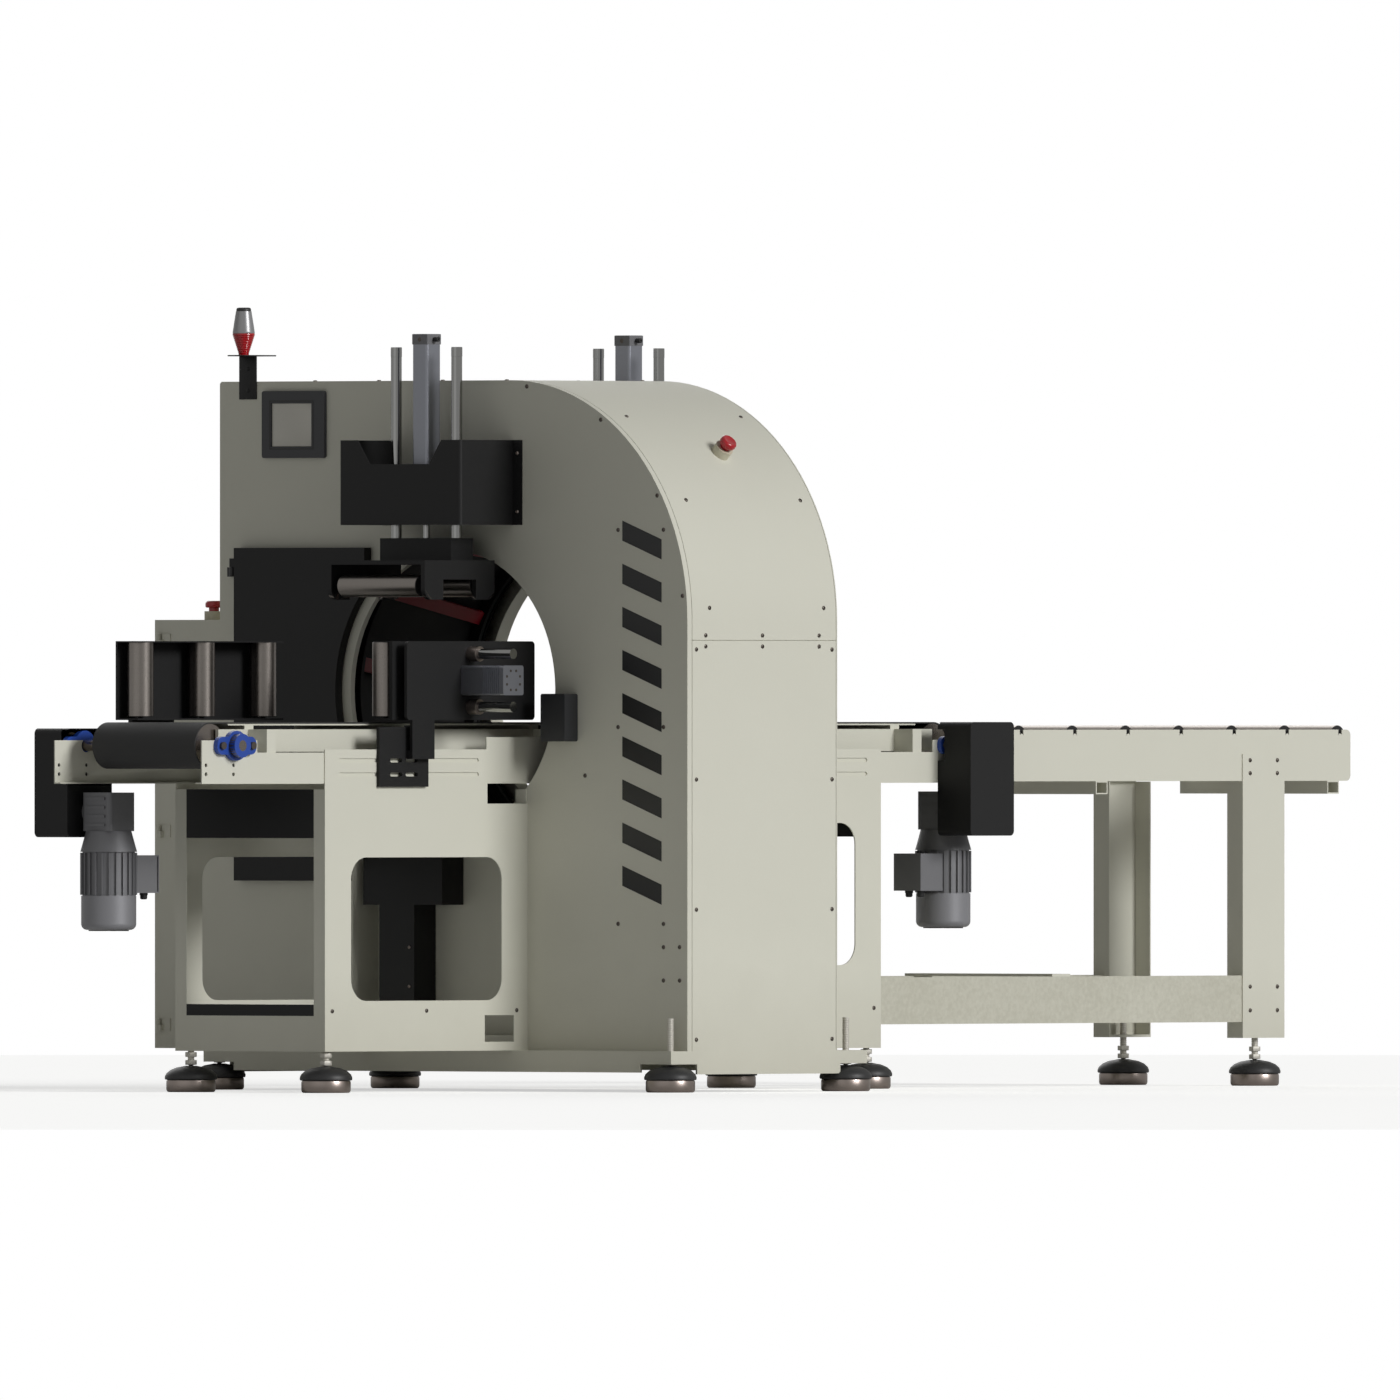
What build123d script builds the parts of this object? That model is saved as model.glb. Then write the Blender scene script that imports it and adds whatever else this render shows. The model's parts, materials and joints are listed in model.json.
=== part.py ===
from build123d import *
import os
from math import atan, cos, degrees, hypot, radians, sin, sqrt

os.makedirs("parts", exist_ok=True)

# Orbital stretch wrapper. X runs with the goods, Y across them, Z up, all in millimetres.
# Working origin: floor level, ring centre line, front (infeed) face of the housing.

# ---- Driving sizes -------------------------------------------------------------------------
belt_top = 844.0          # height of the goods above the floor
belt_half = 160.0         # half width of the belts
ring_above_belt = 72.0    # ring axis above the belts
skin = 3.0                # sheet of housing, bases and rails
fit = 0.05                # radial clearance of a shaft in its bore
running = 0.3             # gap between curved faces of pieces that move past each other

# Housing
housing_len = 505.0
plinth_top = 94.0
corner_r = 550.0          # large rounded top corner on the near side
far_corner_r = 8.0
front_lip = 14.0
rear_lip = 40.0
flange_strip = 15.0       # edge of the front skin folded back beside the covers
seam = 1.5                # gap between neighbouring cover sheets
lap = 20.0                # how far a backing edge reaches behind the next sheet
cover_seam_up = 114.0     # seam of the near covers above the ring axis
opening_gap = 6.5         # smallest gap between the conveyor rails and the round opening

# Plinth and feet
plinth_out_front = 55.0
plinth_out_rear = 101.0
plinth_plate = 6.0
plinth_bottom = 45.0
plinth_arch_z = 64.0      # lower edge of the plinth where its long sides are cut back
plinth_lip = (33.0, 11.0) # side lips from the front face and beyond the rear face
skirt = 5.0
foot_r = 60.0
foot_disc_h = 28.0
foot_cap_h = 30.0
foot_cap_top_r = 24.0
foot_inset = 26.0         # stud axis from the outer edge that it stands under
stud_tops = (169.0, 175.0, 150.0)   # under the housing, the bases and the roller table
stud_r = 8.0
stud_hole_r = 9.0

# Ring
ring_section = 125.0      # radial width of the ring plates
ring_plate = 10.0
ring_front_x = 60.0       # front face of the front ring plate
ring_rear_gap = 70.0      # front face of the rear ring plate from the housing's rear face
drum_wall = 4.0
bar_count = 12
bar_width = 32.0
bar_thick = 8.0
bar_twist = 12.5          # degrees from front plate to rear plate
bar_phase = 4.0           # degrees that the first bar stands above the level, at its middle
wheel_r = 50.0
wheel_pin_r = 10.0
wheel_width = 20.0
wheel_angles = {
    "ring_drive_wheel": -50.0,
    "ring_support_wheel_low": -130.0,
    "ring_support_wheel_top": 90.0,
}
frame_plate_gap = 50.0    # front face of the ring frame from the housing's rear face
frame_plate = 8.0
film_r = 100.0
film_end_gap = (60.0, 65.0)         # film roll from the front faces of the two ring plates
film_housing_gap = 40.0   # least gap between the turning film and the housing top
spindle_r = 20.0
carriage_gap = 30.0       # carriage plate behind the film roll
carriage_plate = 12.0
carriage_y = (-110.0, 180.0)
carriage_post = 60.0      # half width of the blocks that tie carriage and weight to the drum
weight_half = 110.0       # half width of the counterweight
weight_len = 200.0        # length of the counterweight in front of its post
film_slot_y = (60.0, 130.0)         # slot in the drum that the film passes through
stretch_roller_r = 22.0
stretch_rollers = ((120.0, 85.0), (150.0, 145.0))   # across, and beyond the ring's inner radius
dancer_gap = 10.0         # dancer arm behind the film roll
dancer_hub_r = 14.0
dancer_pivot_r = 8.0
dancer_reach = 90.0
dancer_roller_r = 15.0
dancer_y = -80.0
dancer_up = 85.0          # dancer pivot beyond the ring's inner radius
ring_motor_z = 420.0
ring_motor_gap = 108.5    # output shaft beyond the reach of the film roll
ring_motor_reach = 75.0
pulley_r = 40.0
belt_thick = 3.0

# Belt conveyors
drive_drum_r = 50.0
nose_drum_r = 25.0
bed_gap = 0.1             # running gap between a belt and the bed under it
bed_thick = 4.0
nose_gap = 55.0           # free gap between the two belts, under the film path
drive_shaft_r = 12.5
nose_shaft_r = 6.0
infeed_drive_u = 1232.5   # drive drum axis from the ring's middle plane
infeed_end_u = 1336.5
outfeed_drive_u = 1202.5
outfeed_end_u = 1285.0
rail_drop = 140.0         # lower edge of the rails under the belt top
rail_neck = 135.0         # length of the raised rail in front of the housing
rail_flange = 20.0
rail_end_len = 80.0       # raised rail end, inwards of the drive drum
rail_hole_r = 4.5
rail_hole_x = (14.0, 105.0)         # screw holes from the infeed end
rail_hole_up = (22.0, 42.5)         # screw holes above the rail's lower edge
strip_width = 9.0         # side strips beside the belt
bracket_u = (150.0, 600.0)          # belt bed brackets from the ring's middle plane
bracket_from_drum = 130.0
bracket_half = 15.0

# Bases
infeed_base_len = 678.0
outfeed_base_len = 690.0
base_post = 32.0
window_inset = 87.0
window_r = 50.0
slot_width = 9.0
slot_first = 164.0        # slots from the housing end, from the free end and from each other
slot_last = 47.0
slot_space = 29.0
slot_drops = (87.0, 119.0)          # slots under the belt top
notch_drop = 186.0        # lower edge of the notch beside the housing, under the belt top
hatch_u = (46.0, 144.0)
hatch_up = (20.0, 81.0)   # small opening above the plinth top
crossbar_up = 81.0
crossbar = 26.0
upper_panel = 111.0
tower_foot = 35.0         # cross members, and the clamp tower on one, above the plinth top
tower_depth = 75.0
tower_drop = 246.0
tower_head_h = 110.0

# Gearmotors and guards
motor_r = 65.0
fan_r = 63.0
gearbox_half = 44.0
motor_neck = 47.0         # cone between gearbox and barrel
barrel_drop = 191.0       # end of the finned barrel under the output axis
cowl_drop = 269.0         # end of the fan cowl under the output axis
fin_count = 24
fin_half = 1.5
terminal_out = 58.0       # terminal box out of the barrel
terminal_half = 42.0
terminal_h = 86.0
output_boss_r = 30.0
output_stub = 45.0        # output shaft beyond its boss
output_drop = 204.0       # output shafts under the belt top
motor_y = 175.0
guard_len = 148.0
guard_depth = 103.0
guard_drop = 262.0        # lower edge of the guards under the belt top
guard_top_drop = {-1: 14.0, 1: 0.0}
guard_wall = 2.0
guard_corner_r = 12.0
bearing_len = 130.0
bearing_h = 68.0
bearing_boss = 30.0
bearing_plate = 12.0
bearing_bolt = 49.5       # bolts from the shaft axis

# Roller table
table_len = 1273.0
table_gap = 2.5           # between the outfeed rails and the table rails
table_roller_r = 25.0
table_roller_drop = 8.0   # top of the rollers under the belt top
table_axle_r = 6.0
table_roller_count = 7
table_pitch = 183.0
table_first = 139.0       # first roller from the table's start
table_leg_u = (897.0, 1041.0)
table_member_u = (414.0, 1213.0)
table_strip_u = (244.0, 306.0)
leg_flange = 46.0
leg_bottom = 111.0
stretcher_z = (148.0, 256.0)

# Presses
rod_r = 12.5
rod_y = 94.5
press_x = 88.0            # rods and cylinder stand this far from the housing face
cylinder_half = 23.5
piston_rod_r = 8.0
press_block = (74.0, 222.0)
press_plate_y = (140.0, 152.0)
press_reach = (23.0, 257.0)
press_roller_r = 25.0
press_roller_half = 121.0
press_axle_r = 8.0
press_travel = 85.0
press_plate_drop = (112.0, 26.0)    # side plates under the press base height
press_roller_drop = 80.0
press_block_up = (-22.0, 29.0)      # heights above the press base height, down to cylinder_up
press_box_up = (59.0, 253.0)
guide_block_up = (74.0, 164.0)
rod_up = 466.0
cylinder_up = 496.0
guide_block = (125.0, 260.0)        # depth and width of the block that guides the rods
press_opening = (110.0, 64.0)       # cut out of the lower edge of the side plates
press_plate_corner_r = 24.0
press_roller_inset = 25.0
piston_reach = 190.0      # piston rod above the carriage block
skid_inset = 57.0
press_clear = 10.0        # plates above the side guides when fully down
press_box_half = 189.0
press_box_flange = 218.0
press_box_depth = 179.0
press_wall = 2.0
press_corner_r = 8.0
press_notch = (131.0, 92.0, 55.0)   # half width at the top, half width at the bottom, depth

# Side guides
guide_roller_r = 30.0
guide_height = 180.0
guide_above_belt = 5.0
guide_pin_r = 6.0
guide_pitch = 204.0
near_first_x = -424.0
far_first_x = -846.0
near_travel = 100.0
near_rod_r = 12.0
near_rod_up = (35.0, 156.0)         # guide rods above the belt top
near_cylinder = 34.0
near_sleeve = 28.0        # length of the rod sleeves behind the plate
guide_count = 3
guide_shelf = 4.0         # lower plate of the side guides
far_wall_y = (35.0, 41.0) # back plate beyond the roller axes
near_wall_y = (36.0, 46.0)
groove_count = 9
groove_pitch = 6.0

# Cabinet, doors and operating pieces
cabinet_end = 20.0        # cabinet sides inwards of the housing faces
cabinet_depth = 202.0
cabinet_top = 1079.0
cabinet_wall = 2.0
door_thick = 22.0
hinge_r = 6.0
access_pin_r = 4.0
cabinet_pin_r = 3.0
latch_r = 11.0
door_wall = 2.0
access_wall = 2.0
access_standoff = 3.0
access_hinge_x = -14.0
access_hinge_out = 16.0   # hinge axis beyond the door's edge
stop_head_r = 20.0
stop_stem_r = 12.0
stop_collar_r = 22.0
stop_collar_h = 20.0
stop_travel = 4.0
stop_x = 277.0            # along the housing
stop_angle = 46.0         # place of the stop on the rounded corner, from the vertical
cabinet_stop = (60.0, 75.0)         # stop button from the cabinet's back and along it
sensor = (44.0, 75.0, 109.0)        # depth, width and height of the sensor housing
panel_size = (9.0, 196.0, 154.0)    # depth, width and height of the touch panel
screen_inset = (40.0, 30.0, 26.0, 28.0)
beacon_width = 54.0
screw_r = 5.0
screw_head = 2.5

# ---- Values that follow from them ------------------------------------------------------------
# Heights of the conveyors, all from the belt top.
rail_half = belt_half + 71          # outer faces of all conveyor rails
rail_bottom = belt_top - rail_drop
rail_top = belt_top - 69
rail_end_top = belt_top - 41
rail_neck_top = belt_top - 34
strip_z = (belt_top - 67, belt_top - 16)
base_top = belt_top - 62
window_z = {-1: (plinth_top + 115, base_top - 246), 1: (plinth_top + 191, base_top - 170)}
output_z = belt_top - output_drop
guard_bottom = belt_top - guard_drop
guard_top = {side: belt_top - drop for side, drop in guard_top_drop.items()}
drive_drum_z = belt_top - belt_thick - drive_drum_r
nose_drum_z = belt_top - belt_thick - nose_drum_r
nose_u = nose_gap / 2 + belt_thick + nose_drum_r
base_foot_y = rail_half - 20
post_top = rail_bottom - 13
crossbar_z = plinth_top + crossbar_up

# Ring and housing: each clears the one inside it.
ring_z = belt_top + ring_above_belt
aperture_r = round(hypot(rail_half, ring_z - rail_bottom) + opening_gap)
ring_inner_r = aperture_r + 25
bar_r = ring_inner_r + 7            # inner face of the cross bars
drum_r = bar_r + bar_thick + 12
ring_outer_r = ring_inner_r + ring_section
frame_plate_r = ring_outer_r + 2 * wheel_r + 40
film_axis_r = ring_outer_r + film_r
film_sweep = film_axis_r + film_r
ring_motor_y = sqrt((film_sweep + ring_motor_gap) ** 2 - (ring_z - ring_motor_z) ** 2)
housing_half = film_sweep + 61
housing_top = ring_z + film_sweep + film_housing_gap
cover_seam_z = ring_z + cover_seam_up
ring_mid = housing_len / 2
ring_rear_x = housing_len - ring_rear_gap
frame_plate_x = housing_len - frame_plate_gap
film_x = (ring_front_x + film_end_gap[0], ring_rear_x - film_end_gap[1])
corner_y = -housing_half + corner_r
corner_z = housing_top - corner_r

# Roller table, after the outfeed conveyor.
table_start = ring_mid + outfeed_end_u + table_gap
table_end = table_start + table_len
table_rail_z = (belt_top - 137, belt_top - 18)
table_roller_z = belt_top - table_roller_drop - table_roller_r
table_roller_half = rail_half - 9
leg_x = (table_start + table_leg_u[0], table_start + table_leg_u[1])
table_foot_y = rail_half - 25

# Side guides and presses; the presses hang above both the round opening and the guides.
guide_z = (belt_top + guide_above_belt, belt_top + guide_above_belt + guide_height)
guide_roller_z = (guide_z[0] + 9, guide_z[1] - 3)
guide_roller_y = belt_half + 25
near_plate_y = (-belt_half - 102, -belt_half - 94)
near_rod_z = (belt_top + near_rod_up[0], belt_top + near_rod_up[1])
press_base = max(ring_z + aperture_r, guide_z[1] + press_clear + press_travel + press_plate_drop[0])
press_plate_z = tuple(press_base - drop for drop in press_plate_drop)
press_roller_z = press_base - press_roller_drop
press_block_z = tuple(press_base + up for up in press_block_up)
press_box_z = tuple(press_base + up for up in press_box_up)
guide_block_z = tuple(press_base + up for up in guide_block_up)
rod_top = press_base + rod_up
cylinder_top = press_base + cylinder_up

# Doors and the whole machine.
access_clear_r = aperture_r + 25
access_y = (aperture_r - 66, housing_half - 67)
access_z = (ring_z - aperture_r - 116, ring_z + aperture_r + 8)
access_hinge_y = access_y[1] + access_hinge_out
cabinet_x = (cabinet_end, housing_len - cabinet_end)
cabinet_back = housing_half
door_y = cabinet_back + cabinet_depth
latch_head = 4.0
rail_start = ring_mid - infeed_end_u
shift_x = -(rail_start + table_end) / 2
foot_y = housing_half - foot_inset
shift_y = -(door_y + door_thick + latch_head - foot_y - foot_r) / 2


# ---- Helpers -----------------------------------------------------------------------------------
upright = (Align.CENTER, Align.CENTER, Align.MIN)


def block(x, y, z):
    """A box between two limits on each axis."""
    limits = (x, y, z)
    middle = [(a + b) / 2 for a, b in limits]
    return Pos(*middle) * Box(*[abs(b - a) for a, b in limits])


def bar(axis, ends, at, r):
    """A round bar of radius r between two ends along one axis, at its place on the other two."""
    middle, length = sum(ends) / 2, abs(ends[1] - ends[0])
    if axis == "x":
        return Pos(middle, *at) * Rot(0, 90, 0) * Cylinder(r, length)
    if axis == "y":
        return Pos(at[0], middle, at[1]) * Rot(90, 0, 0) * Cylinder(r, length)
    return Pos(*at, middle) * Cylinder(r, length)


def tube(axis, ends, at, r, bore):
    return bar(axis, ends, at, r) - bar(axis, ends, at, bore)


def both(limits, side):
    """Limits on one side of the centre plane, side is 1 or -1."""
    return tuple(side * value for value in limits)


def across(face, x0, x1):
    """Extrude a face drawn in (Y, Z) from x0 to x1."""
    return extrude(Plane.YZ.offset(x0) * face, x1 - x0)


def along_y(face, y0, y1):
    """Extrude a face drawn in (X, Z) from y0 to y1."""
    return extrude(Plane((0, y0, 0), x_dir=(1, 0, 0), z_dir=(0, -1, 0)) * face, y0 - y1)


def save(name, *shapes):
    """Write one node; each piece in it stays a separate solid."""
    solids = [solid for shape in shapes for solid in shape.solids()]
    export_step(Pos(shift_x, shift_y, 0) * Compound(solids), f"parts/{name}.step")


def report_axis(name, x, y, z):
    place = [(x + shift_x) / 1000, (y + shift_y) / 1000, z / 1000]
    print(name, [round(value, 5) for value in place])


# ---- Housing -----------------------------------------------------------------------------------
def outline(inset=0.0):
    """The housing's section: square on the far side, one large rounded corner on the near side."""
    half, top = housing_half - inset, housing_top - inset
    face = Pos(0, (plinth_top + top) / 2) * Rectangle(2 * half, top - plinth_top)
    upper = face.vertices().group_by(Axis.Y)[-1].sort_by(Axis.X)
    face = fillet(upper[0], corner_r - inset)
    upper = face.vertices().group_by(Axis.Y)[-1].sort_by(Axis.X)
    return fillet(upper[-1], far_corner_r - inset)


def shell(x0, x1, inset=0.0):
    """One sheet thickness of the housing's section, from a given depth under its outside."""
    return across(outline(inset), x0, x1) - across(outline(inset + skin), x0 - 1, x1 + 1)


def ring_tube(x0, x1, outer, inner):
    return tube("x", (x0, x1), (0, ring_z), outer, inner)


def access_outline(inset):
    """The access door follows the round opening on one edge."""
    y0, y1 = access_y[0] + inset, access_y[1] - inset
    z0, z1 = access_z[0] + inset, access_z[1] - inset
    face = Pos((y0 + y1) / 2, (z0 + z1) / 2) * Rectangle(y1 - y0, z1 - z0)
    return face - Pos(0, ring_z) * Circle(access_clear_r + inset)


def housing():
    rear_x = housing_len - skin
    bore = bar("x", (-50, housing_len + 50), (0, ring_z), aperture_r)
    front = across(outline(), 0, skin) + shell(skin, flange_strip) + shell(skin, flange_strip + lap, skin)
    front += ring_tube(0, front_lip, aperture_r + skin, aperture_r)
    save("front_skin", front - bore - across(access_outline(25), -1, skin + 1))
    rear = across(outline(), rear_x, housing_len) + shell(rear_x - lap, rear_x, skin)
    rear += ring_tube(housing_len - rear_lip, housing_len, aperture_r + skin, aperture_r)
    save("rear_skin", rear - bore)
    covers = shell(flange_strip + seam, rear_x - seam)
    backing = shell(flange_strip + lap + seam, rear_x - lap - seam, skin)
    button = bar("z", (0, corner_r + 50), (0, 0), stop_stem_r + 2)
    button = Pos(stop_x, corner_y, corner_z) * Rot(stop_angle, 0, 0) * button
    length, left = (0, housing_len), (-housing_half - 1, corner_y)
    top = housing_top + 1
    save("curved_cover", covers & block(length, left, (cover_seam_z + seam, top)) - button)
    near = covers & block(length, left, (0, cover_seam_z))
    near += backing & block(length, left, (cover_seam_z - lap, cover_seam_z + lap))
    save("near_side_cover", near)
    far = covers & block(length, (corner_y + seam, housing_half + 1), (0, top))
    far += backing & block(length, (corner_y - lap, corner_y + lap), (corner_z, top))
    save("far_cover", far)


def foot_places():
    """Stud axis and stud top of each foot: four at the housing, four at the bases, two at the legs."""
    front = foot_inset - plinth_out_front
    rear = housing_len + plinth_out_rear - foot_inset - 18
    places = [(front, foot_y, stud_tops[0]), (rear, foot_y, stud_tops[0])]
    places.append((foot_inset + 2 - infeed_base_len, base_foot_y, stud_tops[1]))
    places.append((housing_len + outfeed_base_len - foot_inset + 1, base_foot_y, stud_tops[1]))
    places.append((sum(leg_x) / 2, table_foot_y, stud_tops[2]))
    return [(x, side * y, top) for x, y, top in places for side in (-1, 1)]


def plinth():
    x0, x1 = -plinth_out_front, housing_len + plinth_out_rear
    half = housing_half
    body = block((x0, x1), (-half, half), (plinth_bottom, plinth_top))
    inside = block((x0 + skirt, x1 - skirt), (-half + skirt, half - skirt), (0, plinth_top - plinth_plate))
    body -= inside
    for side in (-1, 1):
        body -= block((x0 - 1, x1 + 1), both((half - 95, half + 1), side), (0, plinth_arch_z))
        lip_x = (plinth_lip[0], housing_len + plinth_lip[1])
        body += block(lip_x, both((half - skirt, half), side), (plinth_bottom - 4, plinth_arch_z))
    for x, y, _ in foot_places()[:4]:
        body -= bar("z", (0, plinth_top + 1), (x, y), stud_hole_r)
    save("plinth", body)


def foot(x, y, top):
    disc = Pos(x, y, foot_disc_h / 2) * Cylinder(foot_r - 4, foot_disc_h)
    cap = Pos(x, y, foot_disc_h) * Cone(foot_r, foot_cap_top_r, foot_cap_h, align=upright)
    return disc + cap + bar("z", (foot_disc_h, top), (x, y), stud_r)


def levelling_feet():
    save("levelling_feet", *[foot(*place) for place in foot_places()])


# ---- Bases and conveyors -------------------------------------------------------------------------
def base(name, side, length, face_x):
    """A welded sheet base from a housing face outwards; side -1 is the infeed."""
    def span(a, b):
        return (face_x + side * a, face_x + side * b)

    half, inner = rail_half, rail_half - base_post
    low, high = window_z[side]
    slot_len = (length - slot_first - slot_last - slot_space) / 2
    body = Part()
    for y_side in (-1, 1):
        through = (y_side * half + 20, y_side * half - 20)
        sheet = both((half - 1, half + 9), y_side)
        post = both((inner, half), y_side)
        plate = block(span(0, length), both((half, half + skin), y_side), (plinth_top, base_top))
        window = Pos(face_x + side * length / 2, (low + high) / 2)
        window *= RectangleRounded(length - 2 * window_inset, high - low, window_r)
        plate -= along_y(window, *through)
        plate -= block(span(-1, rail_neck), sheet, (belt_top - notch_drop, base_top + 1))
        plate -= block(span(*hatch_u), sheet, (plinth_top + hatch_up[0], plinth_top + hatch_up[1]))
        for drop in slot_drops:
            for start in (slot_first, slot_first + slot_len + slot_space):
                slot = Pos(face_x + side * (start + slot_len / 2), belt_top - drop)
                plate -= along_y(slot * SlotOverall(slot_len, slot_width), *through)
        plate += block(span(0, length), post, (plinth_top, plinth_top + skin))
        for a, b in ((0, skin), (length - skin, length)):
            plate += block(span(a, b), post, (plinth_top, post_top))
        for x, y, _ in foot_places():
            plate -= bar("z", (0, plinth_top + 10), (x, y), stud_hole_r)
        body += plate
    cross_z = (plinth_top + skin, plinth_top + tower_foot)
    body += block(span(skin, skin + base_post), (-half, half), cross_z)
    body += block(span(length - 90, length - 60), (-half, half), cross_z)
    body += block(span(length - skin, length), (-inner, inner), (plinth_top, crossbar_z))
    save(name, body)


def base_panels():
    """Black pieces between the posts, and the film clamp tower under the film path."""
    inner = rail_half - base_post
    pieces = []
    for side, face, length in ((-1, 0, infeed_base_len), (1, housing_len, outfeed_base_len)):
        x = (face + side * (length - skin), face + side * length)
        pieces.append(block(x, (-inner, inner), (crossbar_z, crossbar_z + crossbar)))
        pieces.append(block(x, (-inner, inner), (post_top - upper_panel, post_top)))
    x = (-tower_depth, -skin)
    head_z = (base_top - tower_drop - tower_head_h, base_top - tower_drop)
    column = block(x, (rail_half - 180, rail_half - 71), (plinth_top + tower_foot, head_z[0]))
    pieces.append(column + block(x, (rail_half - 267, rail_half - 21), head_z))
    save("base_panels", *pieces)


def conveyor(side, drive_u, end_u):
    """Frame, belt, drums and bearings of one belt conveyor; u is measured from the ring's middle."""
    def span(a, b):
        return (ring_mid + side * a, ring_mid + side * b)

    drive_x, nose_x = ring_mid + side * drive_u, ring_mid + side * nose_u
    neck_u = ring_mid + rail_neck
    edge, half = nose_gap / 2, rail_half
    inner = half - skin
    strip_in = belt_half + 1
    bed_top = belt_top - belt_thick - bed_gap
    bed_y, bed_z = (-belt_half + 2, belt_half - 2), (bed_top - bed_thick, bed_top)
    places = (*bracket_u, drive_u - bracket_from_drum)
    frame = block(span(nose_u + 30, drive_u - 60), bed_y, bed_z)
    for y_side in (-1, 1):
        web = both((inner, half), y_side)
        rail = block(span(edge, end_u), web, (rail_bottom, rail_top))
        rail += block(span(drive_u - rail_end_len, end_u), web, (rail_bottom, rail_end_top))
        rail += block(span(edge, neck_u), web, (rail_bottom, rail_neck_top))
        lip = both((half - rail_flange, half), y_side)
        rail += block(span(edge, end_u), lip, (rail_bottom, rail_bottom + skin))
        rail += block(span(neck_u, drive_u - rail_end_len), lip, (rail_top - skin, rail_top))
        rail -= bar("y", both((inner - 9, half + 9), y_side), (drive_x, drive_drum_z), drive_shaft_r + 3)
        for inward in rail_hole_x if side < 0 else ():
            for up in rail_hole_up:
                place = (ring_mid + side * (end_u - inward), rail_bottom + up)
                rail -= bar("y", both((inner - 9, half + 9), y_side), place, rail_hole_r)
        strip_y = both((strip_in, strip_in + strip_width), y_side)
        strip = block(span(nose_u - 12, drive_u - drive_shaft_r - 3), strip_y, strip_z)
        strip -= bar("y", (2 * strip_y[0], 0), (nose_x, nose_drum_z), nose_shaft_r + fit)
        frame += rail + strip
        for u in places:
            bracket_y = both((strip_in + strip_width, inner), y_side)
            bracket_x = span(u - bracket_half, u + bracket_half)
            frame += block(bracket_x, bracket_y, (rail_top - 30, strip_z[1]))
    for u in places:
        bracket_x = span(u - bracket_half, u + bracket_half)
        frame += block(bracket_x, (-strip_in - 1, strip_in + 1), (strip_z[1] - 28, strip_z[1]))
        frame += block(bracket_x, bed_y, (strip_z[1], bed_z[0]))
    belt = belt_loop((drive_x, drive_drum_z, drive_drum_r), (nose_x, nose_drum_z, nose_drum_r))
    belt = along_y(belt, belt_half, -belt_half)
    bearings = [bearing(drive_x, y_side) for y_side in (-1, 1)]
    return frame, belt, bearings


def belt_loop(large, small, thick=belt_thick):
    """A belt round two round pieces, drawn in a plane, given as (first, second, radius) each."""
    faces = []
    for extra in (thick, 0):
        rims = [Pos(a, b) * Circle(r + extra) for a, b, r in (large, small)]
        faces.append(make_hull([edge for rim in rims for edge in rim.edges()]))
    return faces[0] - faces[1]


def bearing(x, side):
    """Two-bolt flange bearing on the outside of a rail."""
    face = Pos(x, drive_drum_z) * RectangleRounded(bearing_len, bearing_h * 0.6, 18)
    face += Pos(x, drive_drum_z) * Circle(bearing_h / 2)
    near = side * rail_half
    flange = along_y(face, max(near, near + side * bearing_plate), min(near, near + side * bearing_plate))
    boss = bar("y", (near, near + side * bearing_boss), (x, drive_drum_z), bearing_h / 2 - 7)
    bolts = Part()
    bolt_y = (near + side * bearing_plate, near + side * (bearing_plate + 7))
    for offset in (-bearing_bolt, bearing_bolt):
        bolts += bar("y", bolt_y, (x + offset, drive_drum_z), 8.5)
    shaft = bar("y", (near - side * 5, near + side * 60), (x, drive_drum_z), drive_shaft_r + fit)
    return flange + boss + bolts - shaft


def drums(side, prefix, drive_u, guard_side):
    drive_x, nose_x = ring_mid + side * drive_u, ring_mid + side * nose_u
    drum = bar("y", (-belt_half + 2, belt_half - 2), (drive_x, drive_drum_z), drive_drum_r - running)
    free_end = rail_half + bearing_boss
    shaft_ends = sorted((-guard_side * free_end, guard_side * (free_end + 40)))
    drum += bar("y", shaft_ends, (drive_x, drive_drum_z), drive_shaft_r)
    sprocket = sorted((guard_side * (free_end + 12), guard_side * (free_end + 22)))
    drum += bar("y", sprocket, (drive_x, drive_drum_z), 30)
    save(f"{prefix}_drive_drum", drum)
    report_axis(f"{prefix}_drive_drum", drive_x, 0, drive_drum_z)
    nose = bar("y", (-belt_half + 2, belt_half - 2), (nose_x, nose_drum_z), nose_drum_r - running)
    nose += bar("y", (-belt_half - 10, belt_half + 10), (nose_x, nose_drum_z), nose_shaft_r)
    save(f"{prefix}_nose_drum", nose)
    report_axis(f"{prefix}_nose_drum", nose_x, 0, nose_drum_z)


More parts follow.
